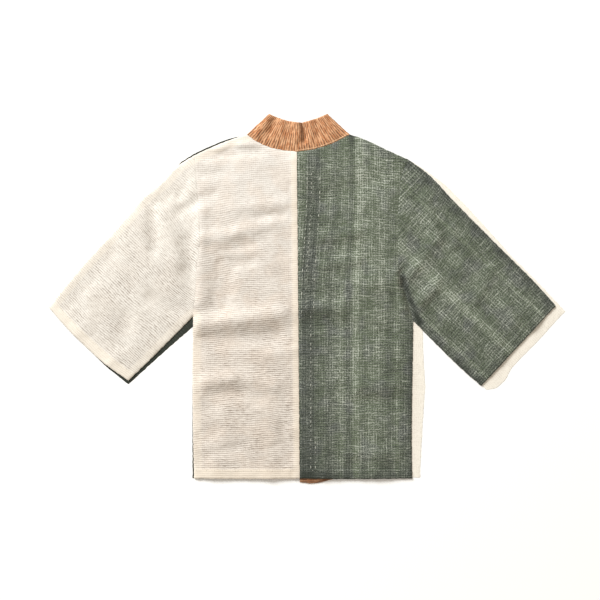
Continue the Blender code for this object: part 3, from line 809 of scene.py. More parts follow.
def upper_tone_and_shading(panel, weave, clean):
    """How much paler or darker a piece of the upper layer is painted: its tone and stripes, painted shade
    along its closed edges and in the underarm crease, darker towards its hem or cuff, and on the green
    back painted light towards the shoulder.
    """
    # Painted shade along the closed edges, made uneven
    uneven = 1.0 + drift(weave.plan, EDGE_SHADE_DRIFT)
    at_edge = hump(nearest(weave.plan, UPPER_EDGES.closed) / EDGE_SHADE_REACH)
    shades = tone(panel.node, weave) - EDGE_SHADES.get(panel.node, 0.0) * uneven * at_edge
    if panel.slot == GREEN:
        # Painted shade in the underarm crease
        shades = shades - creased(weave.plan, UNDERARM_CREASE_SHADE)
        shades = shades - MOUTH_TONES[panel.node] * np.exp(-weave.from_mouth / MOUTH_TONE_REACH)
    # Painted light: the green back paler towards the shoulder, and darker as painted shade near the hem
    if panel.node == "back_right":
        shades = shades + GREEN_PAINTED_LIGHT * (clean - GREEN_PAINTED_LIGHT_MIDDLE)
    return shades


def upper_panel(panel, seed):
    """A back half or a sleeve's back half."""
    cloth = bpy.context.scene.jacket_cloth
    weave = woven(panel.node, pitch_of(panel.slot), FINE_PHASES, panel.columns)
    weave = weave._replace(plan=closed_up(weave.plan, UPPER_EDGES.seams))
    low = lie(weave.plan)
    doubled = near(weave.from_mouth, cloth.hem_depth)
    if panel.node == "back_left":
        at_centre = near(nearest(weave.plan, CENTRE_SEAM), cloth.seam_strip, SEAM_STRIP_STEP)
        doubled = np.maximum(doubled, at_centre)
    flat_edge = near(nearest(weave.plan, UPPER_EDGES.closed), cloth.edge_strip)
    to_rim = nearest(weave.plan, UPPER_EDGES.closed + UPPER_EDGES.mouths)
    to_seam = nearest(weave.plan, UPPER_EDGES.seams)
    height = (weave.plan[..., 1] - FOOT[1]) / MM
    clean = smoothstep(SHOULDER_FROM, SHOULDER_TO, height)

    flatter = (1.0 - DOUBLED_FLATTER * doubled) * (1.0 - EDGE_FLATTER * flat_edge)
    if panel.node == "back_left":
        flatter = flatter * (1.0 - SHOULDER_FLATTER * clean)
    relief = cloth.rib_depth * flatter * unevenness(weave, seed)
    relief = relief * smoothstep(0.0, RIB_RISE, np.minimum(to_rim, to_seam)) * (ribs(weave.along) - 0.5)
    crown = rounded(cloth.thickness + cloth.fold_step * doubled, to_rim, RIM_WIDTH)
    dip = SEAM_DIP * hump(to_seam / SEAM_DIP_WIDTH)

    # Tone, with painted shade and painted light
    shades = upper_tone_and_shading(panel, weave, clean)
    grainy = BACK_GRAINY - BACK_GRAINY_LESS * clean
    if panel.node.startswith("sleeve"):
        clean = np.full(height.shape, SLEEVE_SHOULDER)
        grainy = 1.0 - SLEEVE_GRAINY_LESS * smoothstep(SLEEVE_PLAIN_FROM, SLEEVE_PLAIN_TO, height)
    doubled = np.maximum(doubled, EDGE_DOUBLED * flat_edge)
    marks = {"doubled": doubled, "tone": shades, "clean": clean, "grainy": grainy}
    if panel.node == "back_right":
        weave = weave._replace(across=weave.across - lean(weave.plan))
    weave = weave._replace(plan=wobbled(weave.plan))
    piece = shell(panel.name, weave, low, low + crown - dip + relief, marks, panel.slot)
    declare(piece, panel.node, panel_cut(panel.node, cloth.hem_depth))


def peeping(plan):
    """How far the green front is pushed out past the left shoulder."""
    x, y = np.moveaxis((plan - FOOT) / MM, -1, 0)
    within = smoothstep(PEEP_FROM, PEEP_FULL, x) * (1.0 - smoothstep(PEEP_LESS, PEEP_TO, x))
    at_edge = np.exp(-nearest(plan, LOWER_EDGES.closed) / PEEP_REACH)
    return PEEP * at_edge * within * (y > PEEP_ABOVE)


def eased(weave):
    """How far the right sleeve's front bulges out of its cuff."""
    share = weave.across / weave.across.max()
    bulge = CUFF_EASE * hump((share - CUFF_EASE_PLACE) / CUFF_EASE_REACH)
    return bulge * np.exp(-weave.from_mouth / CUFF_EASE_DEPTH)


def lower_panel(panel, seed):
    """A front half or a sleeve's front half, flat on the ground."""
    cloth = bpy.context.scene.jacket_cloth
    weave = woven(panel.node, pitch_of(panel.slot), COARSE_PHASES, panel.columns)
    shown = weave.plan + peeping(weave.plan)[..., None] * np.array([0.0, 1.0])
    if panel.node == "sleeve_right_front":
        shown = shown + eased(weave)[..., None] * turned(np.array([0.0, -1.0]), -grain(panel.node))
    hem = near(weave.from_mouth, cloth.hem_depth)
    to_closed = nearest(weave.plan, LOWER_EDGES.closed)
    to_open = np.minimum(to_closed, nearest(weave.plan, LOWER_EDGES.mouths))
    doubled = np.maximum(hem, near(to_closed, 2 * cloth.edge_strip))
    thickness = cloth.thickness * (1.0 - np.exp(-(to_open + TIP) / SOFT_RIM))
    relief = LOWER_RELIEF * cloth.rib_depth * (1.0 - LOWER_DOUBLED_FLATTER * doubled)
    relief = relief * unevenness(weave, seed) * smoothstep(0.0, SOFT_RIM, to_open)
    relief = relief * (ribs(weave.along) - 1.0)
    edge = hump(to_open / SHOWN_REACH)
    # The tone mark paints the fronts where they show: the green darker as painted shadow, the cream paler
    # as painted light
    marks = {
        "doubled": doubled * (1.0 - edge),
        "tone": tone(panel.node, weave) * edge,
        "grainy": 1.0 - edge,
    }
    weave = weave._replace(plan=wobbled(shown))
    piece = shell(panel.name, weave, -UNDER_RELIEF * relief, thickness + relief, marks, panel.slot)
    declare(piece, panel.node, panel_cut(panel.node, cloth.hem_depth))


def collar_base(plan):
    """Height of the collar's underside, creased from its free edge down."""
    height = np.full(plan.shape[:-1], REST)
    for fold in COLLAR_FOLDS:
        height = height + MM * folded(plan, fold)
    return np.maximum(height + drift(plan, COLLAR_SWELL), COLLAR_LEAST)


def flat_base(plan):
    """Height of the underside of a band that lies on the ground."""
    return np.zeros(plan.shape[:-1])


def footed(plan, node):
    """A front band's plan with its last rows bent to its curved foot."""
    if node == COLLAR:
        return plan
    foot = mouth(node)
    last = plan[np.argmin(plan[:, :, 1].mean(axis=1))]
    order = np.argsort(last[:, 0])
    level = np.interp(plan[..., 0], last[order, 0], last[order, 1])
    drop = np.interp(plan[..., 0], foot[:, 0], foot[:, 1]) - level
    bent = plan.copy()
    bent[..., 1] += drop * np.exp(-(plan[..., 1] - level) / FOOT_REACH)
    return bent


# The band's stretches. Each long edge lies between the outline's furthest points these two ways
Band = namedtuple("Band", "name node left right base columns lies_on")
BANDS = (
    Band(
        "band_collar",
        COLLAR,
        left=((1, 2), (-1, 2)),
        right=((-1, 0), (1, 0)),
        base=collar_base,
        columns=22,
        lies_on=("band_left", "band_right"),
    ),
    Band(
        "band_front_left",
        "band_left",
        left=((-1, 0), (-1, -1)),
        right=((1, -1), (0, 1)),
        base=flat_base,
        columns=16,
        lies_on=("ground",),
    ),
    Band(
        "band_front_right",
        "band_right",
        left=((0, 1), (-1, -1)),
        right=((1, -1), (1, 0)),
        base=flat_base,
        columns=16,
        lies_on=("ground",),
    ),
)


def band_piece(band):
    """A stretch of the doubled band, ribbed across."""
    cloth = bpy.context.scene.jacket_cloth
    ring = RINGS[band.node]
    outer = parts_of([band.node])
    seams = shared_edge(band.node, *(other for other in RINGS if other != band.node))
    left, right = edge_between(ring, band.left)[::-1], edge_between(ring, band.right)
    weave = strip(left, right, cloth.band_pitch, FINE_PHASES, band.columns)
    weave = weave._replace(plan=closed_up(footed(weave.plan, band.node), seams))
    to_seam = nearest(weave.plan, seams)
    relief = cloth.band_rib_depth * (ribs(weave.along) - 1.0) * unevenness(weave, len(band.node))
    relief = relief * smoothstep(0.0, BAND_RIB_RISE, nearest(weave.plan, outer))
    low = band.base(weave.plan)
    # Painted shade in the collar's deepest crease and on the foot under the hem
    marks = {"creased": creased(weave.plan, BAND_SHADE_FOLDS)}
    weave = weave._replace(plan=wobbled(weave.plan))
    free = [part for part in outer if nearest(part.mean(axis=0)[None], seams)[0] > TIP]
    crown = rounded(BAND_THICKNESS, nearest(weave.plan, free), BAND_THICKNESS)
    thinner = 1.0 - cloth.thickness / BAND_THICKNESS
    crown = crown * (1.0 - thinner * hump(to_seam / BAND_TAPER))
    piece = shell(band.name, weave, low, low + crown + relief, marks, RUST)
    area, width = area_of(ring), weave.across.max()
    declare(piece, band.node, (width, area / width, area))


# Stitches


def stitch_tree():
    """Geometry Nodes that lay short plump stitches along lines, one after another."""
    name = "stitches along a line"
    if name in bpy.data.node_groups:
        return bpy.data.node_groups[name]
    tree = bpy.data.node_groups.new(name, "GeometryNodeTree")
    socket = tree.interface.new_socket
    socket("Lines", in_out="INPUT", socket_type="NodeSocketGeometry")
    for label in ("Pitch", "Length", "Width", "Height", "Unevenness"):
        socket(label, in_out="INPUT", socket_type="NodeSocketFloat")
    socket("Thread", in_out="INPUT", socket_type="NodeSocketMaterial")
    socket("Stitches", in_out="OUTPUT", socket_type="NodeSocketGeometry")

    def node(kind, settings=None, sockets=None):
        made = tree.nodes.new(kind)
        for key, value in (settings or {}).items():
            setattr(made, key, value)
        for key, value in (sockets or {}).items():
            if isinstance(value, bpy.types.NodeSocket):
                tree.links.new(value, made.inputs[key])
            else:
                made.inputs[key].default_value = value
        return made

    given = node("NodeGroupInput").outputs
    curve = node("GeometryNodeMeshToCurve", None, {"Mesh": given["Lines"]})
    level = node("GeometryNodeSetCurveNormal", {"mode": "Z_UP"}, {"Curve": curve.outputs["Curve"]})
    spacing = {"Curve": level.outputs["Curve"], "Length": given["Pitch"]}
    dotted = node("GeometryNodeCurveToPoints", {"mode": "LENGTH"}, spacing)
    bead = node("GeometryNodeMeshUVSphere", None, BEAD)
    sides = {"X": given["Width"], "Y": given["Height"], "Z": given["Length"]}
    whole = node("ShaderNodeCombineXYZ", None, sides)
    least = node("ShaderNodeMath", {"operation": "SUBTRACT"}, {0: 1.0, 1: given["Unevenness"]})
    limits = {2: least.outputs[0], 3: 1.0, "Seed": STITCH_SEED}
    share = node("FunctionNodeRandomValue", {"data_type": "FLOAT"}, limits)
    scaling = {0: whole.outputs[0], "Scale": share.outputs[1]}
    scale = node("ShaderNodeVectorMath", {"operation": "SCALE"}, scaling)
    placing = {
        "Points": dotted.outputs["Points"],
        "Instance": bead.outputs["Mesh"],
        "Rotation": dotted.outputs["Rotation"],
        "Scale": scale.outputs[0],
    }
    laid = node("GeometryNodeInstanceOnPoints", None, placing)
    real = node("GeometryNodeRealizeInstances", None, {"Geometry": laid.outputs["Instances"]})
    dressing = {"Geometry": real.outputs["Geometry"], "Material": given["Thread"]}
    dressed = node("GeometryNodeSetMaterial", None, dressing)
    node("NodeGroupOutput", None, {0: dressed.outputs["Geometry"]})
    return tree


def stitched(name, lines, stitch, thread):
    """Stitches along lines of points on the cloth, as one plain mesh."""
    mesh = bpy.data.meshes.new(name)
    points, edges = [], []
    for line in lines:
        start = len(points)
        points += [tuple(point) for point in line]
        edges += [(start + k, start + k + 1) for k in range(len(line) - 1)]
    mesh.from_pydata(points, edges, [])
    piece = linked(name, mesh)
    tree = stitch_tree()
    layer = piece.modifiers.new("stitches", "NODES")
    layer.node_group = tree
    values = {label.capitalize(): value for label, value in stitch._asdict().items()}
    values["Thread"] = thread
    for item in tree.interface.items_tree:
        if item.item_type == "SOCKET" and item.in_out == "INPUT" and item.name in values:
            layer[item.identifier] = values[item.name]
    graph = bpy.context.evaluated_depsgraph_get()
    made = bpy.data.meshes.new_from_object(piece.evaluated_get(graph))
    piece.modifiers.clear()
    piece.data = made
    made.name = name
    made.shade_smooth()
    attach(piece, BODY)


def on_cloth(plan, above):
    """Points over the upper layer's plan, a little above its upper face."""
    cloth = bpy.context.scene.jacket_cloth
    return np.column_stack([plan, lie(plan) + cloth.thickness + above])


def inside(edge, depth, start, end):
    """A line inside a piece's edge, at an even depth, between two shares of its length."""
    length = run_of(edge)[-1] * (end - start)
    line = sampled(edge, np.linspace(start, end, int(length / STITCH_STEP)))
    way = np.gradient(line, axis=0)
    way = way / np.linalg.norm(way, axis=1)[:, None]
    return line + depth * np.column_stack([-way[:, 1], way[:, 0]])


# Materials

# Noise over the weave: its cells to a metre of weft and to a rib, where they start, its layer, its
# detail and its roughness. It is near 0.5, or grows from 0 at its first limit to 1 at its second.
# Specks are pale where their noise is high, and dark where it is low
Grain = namedtuple(
    "Grain",
    "weft rib weft_start rib_start layer detail roughness limits",
    defaults=(0.0, 0.0, 0.0, 2.0, 0.5, None),
)
FIBRES = Grain(weft=700, rib=3, detail=3, roughness=0.6)

CREAM_WOBBLE = Grain(weft=110, rib=0.7, roughness=0.6)
CREAM_WARP_WOBBLE = Grain(weft=60, rib=0.5, layer=8, detail=1)
CREAM_DASHES = Grain(weft=110, rib=1, detail=3, roughness=0.7, limits=(0.3, 0.7))
CREAM_AREAS = Grain(weft=17, rib=0.09, limits=(0.32, 0.66))
CREAM_CROSSINGS = Grain(weft=90, rib=0.5, layer=4, detail=3, roughness=0.7, limits=(0.35, 0.7))
CREAM_WARM = Grain(weft=24, rib=0.11, layer=3, limits=(0.4, 0.65))
CREAM_COOL = Grain(weft=18, rib=0.08, layer=7, limits=(0.48, 0.7))
CREAM_FLECKS = Grain(weft=300, rib=1.6, layer=5, roughness=0.6, limits=(0.5, 0.8))

WARP_PITCH = 5.4 * MM
GREEN_WEFT_WOBBLE = Grain(weft=60, rib=0.5, roughness=0.6)
GREEN_WARP_WOBBLE = Grain(weft=40, rib=0.25, layer=6, roughness=0.6)
GREEN_WEFT_SLUBS = Grain(weft=48, rib=1.3, rib_start=0.5, detail=4, roughness=0.75, limits=(0.4, 0.72))
GREEN_WARP_SLUBS = Grain(
    weft=1.3 / WARP_PITCH, rib=0.1, weft_start=0.5, layer=5, detail=4, roughness=0.75, limits=(0.4, 0.74)
)
GREEN_BANDS = Grain(weft=38, rib=0.012, layer=9, limits=(0.35, 0.65))
GREEN_ROWS = Grain(weft=8, rib=0.16, layer=12, limits=(0.35, 0.65))
GREEN_SPECKS = Grain(weft=2.3 / WARP_PITCH, rib=2.1, layer=2, roughness=0.8)
GREEN_PALE_SPECKS = (0.5, 0.66)
GREEN_DARK_SPECKS = (0.48, 0.31)
GREEN_CLOUDS = Grain(weft=26, rib=0.12, layer=4, limits=(0.45, 0.68))
GREEN_LINES = Grain(weft=12, rib=1, rib_start=0.5, layer=15, detail=1, limits=(0.56, 0.7))

RUST_WOBBLE = Grain(weft=90, rib=0.6, roughness=0.6)
RUST_PARTS = Grain(weft=55, rib=1, rib_start=0.5, roughness=0.6, limits=(0.35, 0.65))
RUST_DASHES = Grain(weft=80, rib=1, layer=2, roughness=0.6, limits=(0.34, 0.6))
RUST_STROKES = Grain(weft=50, rib=1, rib_start=0.5, layer=9, roughness=0.6, limits=(0.5, 0.58))
RUST_SPECKS = Grain(weft=360, rib=1.5, layer=3, detail=3, roughness=0.8)
RUST_PALE_SPECKS = (0.5, 0.7)
RUST_DARK_SPECKS = (0.46, 0.3)

# Lines between threads: how far they wander, their shift, and how narrow they are
Gap = namedtuple("Gap", "wander shift narrow")
CREAM_GAP = Gap(0.9, -0.45, 1.3)
CREAM_WARP_GAP = Gap(0.8, 0.0, 1.0)
CREAM_WARP_PITCH = 4.3 * MM
GREEN_GAP = Gap(0.6, 0.0, 0.8)
GREEN_DARK_GAP = Gap(0.6, -0.3, 1.2)
RUST_GAP = Gap(0.5, -0.25, 1.0)
RUST_STROKE = Gap(0.5, -0.25, 3.0)

# How strongly each mark of a cloth shows
CREAM_SHARES = SimpleNamespace(
    plainer=0.65, dash=0.7, area=0.5, warm=0.5, low=0.65, low_less=0.57,
    cool=0.55, doubled=0.9, groove=0.86, crossing=0.22, fleck=0.25,
)
GREEN_SHARES = SimpleNamespace(
    weft=0.1, weft_slub=0.72, warp=0.03, warp_slub=0.46, knot=0.12, speck=0.44,
    plain=0.56, band=0.34, row=0.26, stripe=0.7, cloud=0.6, grey_stripe=0.9,
    gap=0.7, line=0.3, dark_speck=0.8, dark_stripe=0.55,
)
RUST_SHARES = SimpleNamespace(dash=0.7, pale_speck=0.6, groove=0.8, stroke=0.7, dark_speck=0.6)

# The surface of the matt cotton, how deep its fibres are, and the mottle of its threads
MATT = {"Roughness": 0.95, "Specular IOR Level": 0.1, "Sheen Weight": 0.08, "Sheen Roughness": 0.6}
BUMP_STRENGTH = 0.7
FIBRE_DEPTH = 0.3 * MM
GREEN_FIBRE_DEPTH = 0.4 * MM
THREAD_FIBRE_DEPTH = 0.1 * MM
THREAD_MOTTLE = 900.0
THREAD_DARKER = 0.6
THREAD_LIMITS = (0.35, 0.65)


class Number:
    """A number of a material, kept as a socket, that can be reckoned with."""

    def __init__(self, finish, socket):
        self.finish = finish
        self.socket = socket

    def maths(self, operation, *values):
        """A Math node on these values."""
        made = self.finish.node("ShaderNodeMath", {"operation": operation}, dict(enumerate(values)))
        return Number(self.finish, made.outputs[0])

    def __add__(self, other):
        return self.maths("ADD", self, other)

    def __radd__(self, other):
        return self.maths("ADD", other, self)

    def __sub__(self, other):
        return self.maths("SUBTRACT", self, other)

    def __rsub__(self, other):
        return self.maths("SUBTRACT", other, self)

    def __mul__(self, other):
        return self.maths("MULTIPLY", self, other)

    def __rmul__(self, other):
        return self.maths("MULTIPLY", other, self)

    def __pow__(self, other):
        return self.maths("POWER", self, other)

    def cosine(self):
        return self.maths("COSINE", self)

    def between(self, low, high):
        """0 below low, 1 above high, and smooth between."""
        settings = {"interpolation_type": "SMOOTHSTEP"}
        sockets = {"Value": self, "From Min": low, "From Max": high}
        made = self.finish.node("ShaderNodeMapRange", settings, sockets)
        return Number(self.finish, made.outputs["Result"])


class Finish:
    """A material and its nodes."""

    def __init__(self, name):
        self.material = bpy.data.materials.new(name)
        self.material.use_nodes = True
        self.tree = self.material.node_tree
        self.shader = self.tree.nodes["Principled BSDF"]

    def node(self, kind, settings=None, sockets=None):
        """A node of this type, with its settings and the values or links of its sockets."""
        made = self.tree.nodes.new(kind)
        for key, value in (settings or {}).items():
            setattr(made, key, value)
        for key, value in (sockets or {}).items():
            self.join(made.inputs[key], value)
        return made

    def join(self, socket, value):
        """Sets a socket to a value, or links it."""
        if isinstance(value, Number):
            self.tree.links.new(value.socket, socket)
        elif isinstance(value, bpy.types.NodeSocket):
            self.tree.links.new(value, socket)
        else:
            socket.default_value = value

    def feed(self, name, value):
        """Sets or links one of the shader's own sockets."""
        self.join(self.shader.inputs[name], value)

    def weave(self):
        """Reads the weave: the place along the weft, in metres, and the count of ribs."""
        threads = self.node("ShaderNodeUVMap", {"uv_map": "weave"})
        parts = self.node("ShaderNodeSeparateXYZ", None, {"Vector": threads.outputs["UV"]})
        self.weft = Number(self, parts.outputs["X"])
        self.rib = Number(self, parts.outputs["Y"])

    def attribute(self, name):
        """A named value of the mesh's points."""
        made = self.node("ShaderNodeAttribute", {"attribute_name": name})
        return Number(self, made.outputs["Fac"])

    def grain(self, kind):
        """Soft noise over the weave."""
        x = self.weft * kind.weft + kind.weft_start
        y = self.rib * kind.rib + kind.rib_start
        at = self.node("ShaderNodeCombineXYZ", None, {"X": x, "Y": y, "Z": kind.layer}).outputs["Vector"]
        sockets = {"Vector": at, "Scale": 1.0, "Detail": kind.detail, "Roughness": kind.roughness}
        noise = Number(self, self.node("ShaderNodeTexNoise", None, sockets).outputs["Fac"])
        return noise.between(*kind.limits) if kind.limits else noise

    def mix(self, share, first, second):
        """A colour between two colours."""
        made = self.node("ShaderNodeMix", {"data_type": "RGBA"}, {0: share, 6: first, 7: second})
        return made.outputs[2]

    def bump(self, height, distance):
        """A relief of this depth."""
        sockets = {"Height": height, "Distance": distance, "Strength": BUMP_STRENGTH}
        return self.node("ShaderNodeBump", None, sockets).outputs["Normal"]


def colour(values):
    """A colour as the nodes take it."""
    return (*values, 1.0)


def gap_at(count, wobble, kind):
    """A thin line between threads: 1 in the middle of a gap and 0 on the crests."""
    turns = (count + kind.wander * wobble + kind.shift) * TURN
    return (0.5 - 0.5 * turns.cosine()) ** kind.narrow


def matt_cotton(finish, base, relief, depth):
    """Feeds the shader of a matt cloth."""
    finish.feed("Base Color", base)
    for name, value in MATT.items():
        finish.feed(name, value)
    finish.feed("Normal", finish.bump(relief, depth))
    return finish.material


def cream_cotton():
    """Undyed cotton: pale ribs, with warm grey grooves that come and go along each of them."""
    tints = bpy.context.scene.jacket_colours
    shares = CREAM_SHARES
    finish = Finish("cream cloth")
    finish.weave()
    groove_colour = colour(tints.cream_groove)
    clean = finish.attribute("clean")
    plain = 1.0 - shares.plainer * finish.attribute("doubled")
    dashes = (1.0 - shares.dash) + shares.dash * finish.grain(CREAM_DASHES)
    areas = (1.0 - shares.area) + shares.area * finish.grain(CREAM_AREAS)
    groove = gap_at(finish.rib, finish.grain(CREAM_WOBBLE), CREAM_GAP)
    groove = groove * dashes * areas * plain * finish.attribute("grainy")
    warp = finish.weft * (1.0 / CREAM_WARP_PITCH)
    crossing = gap_at(warp, finish.grain(CREAM_WARP_WOBBLE), CREAM_WARP_GAP)
    crossing = crossing * finish.grain(CREAM_CROSSINGS) * plain
    warm = finish.grain(CREAM_WARM) * (1.0 - shares.warm * clean)
    base = finish.mix(warm, colour(tints.cream), colour(tints.cream_warm))
    # Painted shade: the back darker and warmer towards its hem, less so towards the shoulder
    base = finish.mix(shares.low - shares.low_less * clean, base, colour(tints.cream_low))
    base = finish.mix(finish.grain(CREAM_COOL) * plain * shares.cool, base, colour(tints.cream_cool))
    base = finish.mix(shares.doubled * (1.0 - plain), base, colour(tints.cream_double))
    # Painted light: the cream fronts are paler where they show; the left sleeve's back takes a little of
    # this pale cream as its own tone
    base = finish.mix(finish.attribute("tone"), base, colour(tints.cream_pale))
    base = finish.mix(groove * shares.groove, base, groove_colour)
    base = finish.mix(crossing * shares.crossing, base, groove_colour)
    base = finish.mix(finish.grain(CREAM_FLECKS) * plain * shares.fleck, base, groove_colour)
    return matt_cotton(finish, base, finish.grain(FIBRES), FIBRE_DEPTH)


def green_cotton():
    """Dark green cotton with pale slubs in both ways of its weave."""
    tints = bpy.context.scene.jacket_colours
    shares = GREEN_SHARES
    finish = Finish("green cloth")
    finish.weave()
    # The tone mark holds the green's stripes together with painted shade and light: the fronts' painted
    # shadow, painted shade along closed edges and in the underarm crease, and the back's painted light
    # towards the shoulder
    stripes_and_shade = finish.attribute("tone")
    specks = finish.grain(GREEN_SPECKS)
    weft_wobble = finish.grain(GREEN_WEFT_WOBBLE)
    warp = finish.weft * (1.0 / WARP_PITCH)
    weft_crest = 1.0 - gap_at(finish.rib, weft_wobble, GREEN_GAP)
    warp_crest = 1.0 - gap_at(warp, finish.grain(GREEN_WARP_WOBBLE), GREEN_GAP)
    weft_slubs = shares.weft + shares.weft_slub * finish.grain(GREEN_WEFT_SLUBS)
    warp_slubs = shares.warp + shares.warp_slub * finish.grain(GREEN_WARP_SLUBS)
    light = weft_crest * weft_slubs + warp_crest * warp_slubs
    light = light + weft_crest * warp_crest * shares.knot
    light = light + specks.between(*GREEN_PALE_SPECKS) * shares.speck
    spread = shares.plain + shares.band * finish.grain(GREEN_BANDS) + shares.row * finish.grain(GREEN_ROWS)
    light = light * spread * (1.0 + shares.stripe * stripes_and_shade)
    dark = gap_at(finish.rib, weft_wobble, GREEN_DARK_GAP) * shares.gap
    dark = dark + finish.grain(GREEN_LINES) * shares.line
    dark = dark + specks.between(*GREEN_DARK_SPECKS) * shares.dark_speck
    dark = dark - stripes_and_shade * shares.dark_stripe
    grey = finish.grain(GREEN_CLOUDS) * shares.cloud - stripes_and_shade * shares.grey_stripe
    base = finish.mix(grey.between(0.0, 1.0), colour(tints.green), colour(tints.green_grey))
    base = finish.mix(dark.between(0.0, 1.0), base, colour(tints.green_groove))
    base = finish.mix(light.between(0.0, 1.0), base, colour(tints.green_slub))
    return matt_cotton(finish, base, finish.grain(FIBRES), GREEN_FIBRE_DEPTH)


def rust_cotton():
    """The band's rust cotton, with dark cross threads among its ribs."""
    tints = bpy.context.scene.jacket_colours
    shares = RUST_SHARES
    finish = Finish("rust cloth")
    finish.weave()
    pale_colour, dark_colour = colour(tints.rust_light), colour(tints.rust_groove)
    wobble = finish.grain(RUST_WOBBLE)
    specks = finish.grain(RUST_SPECKS)
    dashes = (1.0 - shares.dash) + shares.dash * finish.grain(RUST_DASHES)
    groove = gap_at(finish.rib, wobble, RUST_GAP) * dashes
    stroke = gap_at(finish.rib, wobble, RUST_STROKE) * finish.grain(RUST_STROKES)
    base = finish.mix(finish.grain(RUST_PARTS), colour(tints.rust), pale_colour)
    base = finish.mix(specks.between(*RUST_PALE_SPECKS) * shares.pale_speck, base, pale_colour)
    base = finish.mix(groove * shares.groove, base, dark_colour)
    base = finish.mix(stroke * shares.stroke, base, dark_colour)
    base = finish.mix(specks.between(*RUST_DARK_SPECKS) * shares.dark_speck, base, dark_colour)
    # Painted shade: darker in the collar's crease and on the foot under the hem
    base = finish.mix(finish.attribute("creased"), base, dark_colour)
    return matt_cotton(finish, base, finish.grain(FIBRES), FIBRE_DEPTH)


def thread(name, tint):
    """Cotton thread, mottled along its length."""
    finish = Finish(name)
    at = finish.node("ShaderNodeTexCoord").outputs["Object"]
    sockets = {"Vector": at, "Scale": THREAD_MOTTLE}
    mottle = Number(finish, finish.node("ShaderNodeTexNoise", None, sockets).outputs["Fac"])
    darker = [THREAD_DARKER * value for value in tint]
    base = finish.mix(mottle.between(*THREAD_LIMITS), colour(darker), colour(tint))
    return matt_cotton(finish, base, mottle, THREAD_FIBRE_DEPTH)


FINISHES = {}
MAKERS = {CREAM: cream_cotton, GREEN: green_cotton, RUST: rust_cotton}


def finish_of(slot):
    """The finish of a material slot, made the first time that it is asked for."""
    if slot not in FINISHES:
        FINISHES[slot] = MAKERS[slot]()
    return FINISHES[slot]


# Settings

# The stage, in metres
GROUND_HALF = 4.0
GROUND_BELOW = 0.2 * MM
WINDOW_PLACE = (-4.8, 6.4, 4.1)
WINDOW_WIDTH = 3.8
VIEW_END = 20.0


def size(name, description, millimetres):
    """A length that a user may change."""
    settings = {"default": millimetres * MM, "unit": "LENGTH", "precision": 4}
    return FloatProperty(name=name, description=description, **settings)


def tint(name, description, default):
    """A colour that a user may change."""
    settings = {"default": default, "size": 3, "min": 0.0, "max": 1.0, "subtype": "COLOR"}
    return FloatVectorProperty(name=name, description=description, **settings)


class JacketCloth(bpy.types.PropertyGroup):
    thickness: size("Cloth thickness", "Thickness of one layer", 1.0)
    fold_step: size("Hem step", "Extra thickness where cloth is doubled", 0.7)
    hem_depth: size("Hem depth", "Depth of the turned-up hems", 20.0)
    seam_strip: size("Seam strip", "Width of the doubled strip at the centre seam", 12.0)
    edge_strip: size("Edge strip", "Width of the flatter strip along a closed edge", 16.0)
    loft: size("Loft", "How high the upper layer lies over the lower one", 4.2)
    edge_loft: size("Edge loft", "How high it lies near its edges", 0.6)
    roll: size("Edge roll", "Width over which a closed edge rolls down", 3.0)
    rib_depth: size("Rib depth", "From a rib's crest to its groove", 0.65)
    band_rib_depth: size("Band rib depth", "From a rib's crest to its groove on the band", 0.45)
    cream_pitch: size("Cream rib pitch", "From one rib to the next", 4.25)
    green_pitch: size("Green rib pitch", "From one rib to the next", 5.0)
    band_pitch: size("Band rib pitch", "From one rib to the next", 4.3)


class JacketColours(bpy.types.PropertyGroup):
    cream: tint("Cream", "Crests of the cream ribs", (0.78, 0.75, 0.705))
    cream_warm: tint("Warm cream", "Warmer patches of the cream cloth", (0.74, 0.66, 0.585))
    cream_cool: tint("Cool cream", "Greyer patches of the cream cloth", (0.70, 0.655, 0.60))
    # Low cream: painted shade on the back towards its hem
    cream_low: tint("Low cream", "Cream cloth near the hem", (0.725, 0.655, 0.58))
    cream_double: tint("Doubled cream", "Hems and the strip at the centre seam", (0.81, 0.72, 0.595))
    # Pale cream: painted light on the cream fronts where they show, and a paler tone on the left sleeve's
    # back
    cream_pale: tint("Pale cream", "The fronts, where they show beside the back", (0.88, 0.84, 0.755))
    cream_groove: tint("Cream groove", "Grooves between the cream ribs", (0.20, 0.15, 0.115))
    green: tint("Green", "Ground of the green cloth", (0.097, 0.122, 0.075))
    green_grey: tint("Grey green", "Greyer patches of the green cloth", (0.108, 0.117, 0.113))
    green_slub: tint("Green slub", "Pale threads of the green cloth", (0.53, 0.565, 0.49))
    green_groove: tint("Green groove", "Grooves between the green ribs", (0.03, 0.036, 0.028))
    rust: tint("Rust", "Crests of the band's ribs", (0.515, 0.206, 0.085))
    rust_light: tint("Light rust", "Paler threads of the band", (0.81, 0.462, 0.258))
    rust_groove: tint("Rust groove", "Dark cross threads of the band", (0.10, 0.05, 0.03))
    rust_thread: tint("Rust thread", "Stitches above the neck seam", (0.92, 0.62, 0.38))
    dim_thread: tint("Dim thread", "Warp threads that float on the green back", (0.60, 0.62, 0.54))
    pale_thread: tint("Pale thread", "Stitches of the hems and cuffs", (0.66, 0.66, 0.58))


class JacketStage(bpy.types.PropertyGroup):
    lens: FloatProperty(name="Lens", description="Focal length in millimetres", default=85.0)
    view_width: size("View width", "Width of ground in the picture", 1260.0)
    view_x: size("View X", "Ground point under the camera", -14.4)
    view_y: size("View Y", "Ground point under the camera", -2.4)
    key: FloatProperty(name="Key light", description="Power of the window in watts", default=1260.0)
    sky: FloatProperty(name="Sky light", description="Strength of light from all round", default=0.57)
    floor: tint("Floor", "Colour of the ground", (0.95, 0.95, 0.95))
    key_light: tint("Key light colour", "Colour of the window light", (0.97, 0.99, 1.0))
    sky_light: tint("Sky light colour", "Colour of the light from all round", (1.0, 0.92, 0.81))


# Operators


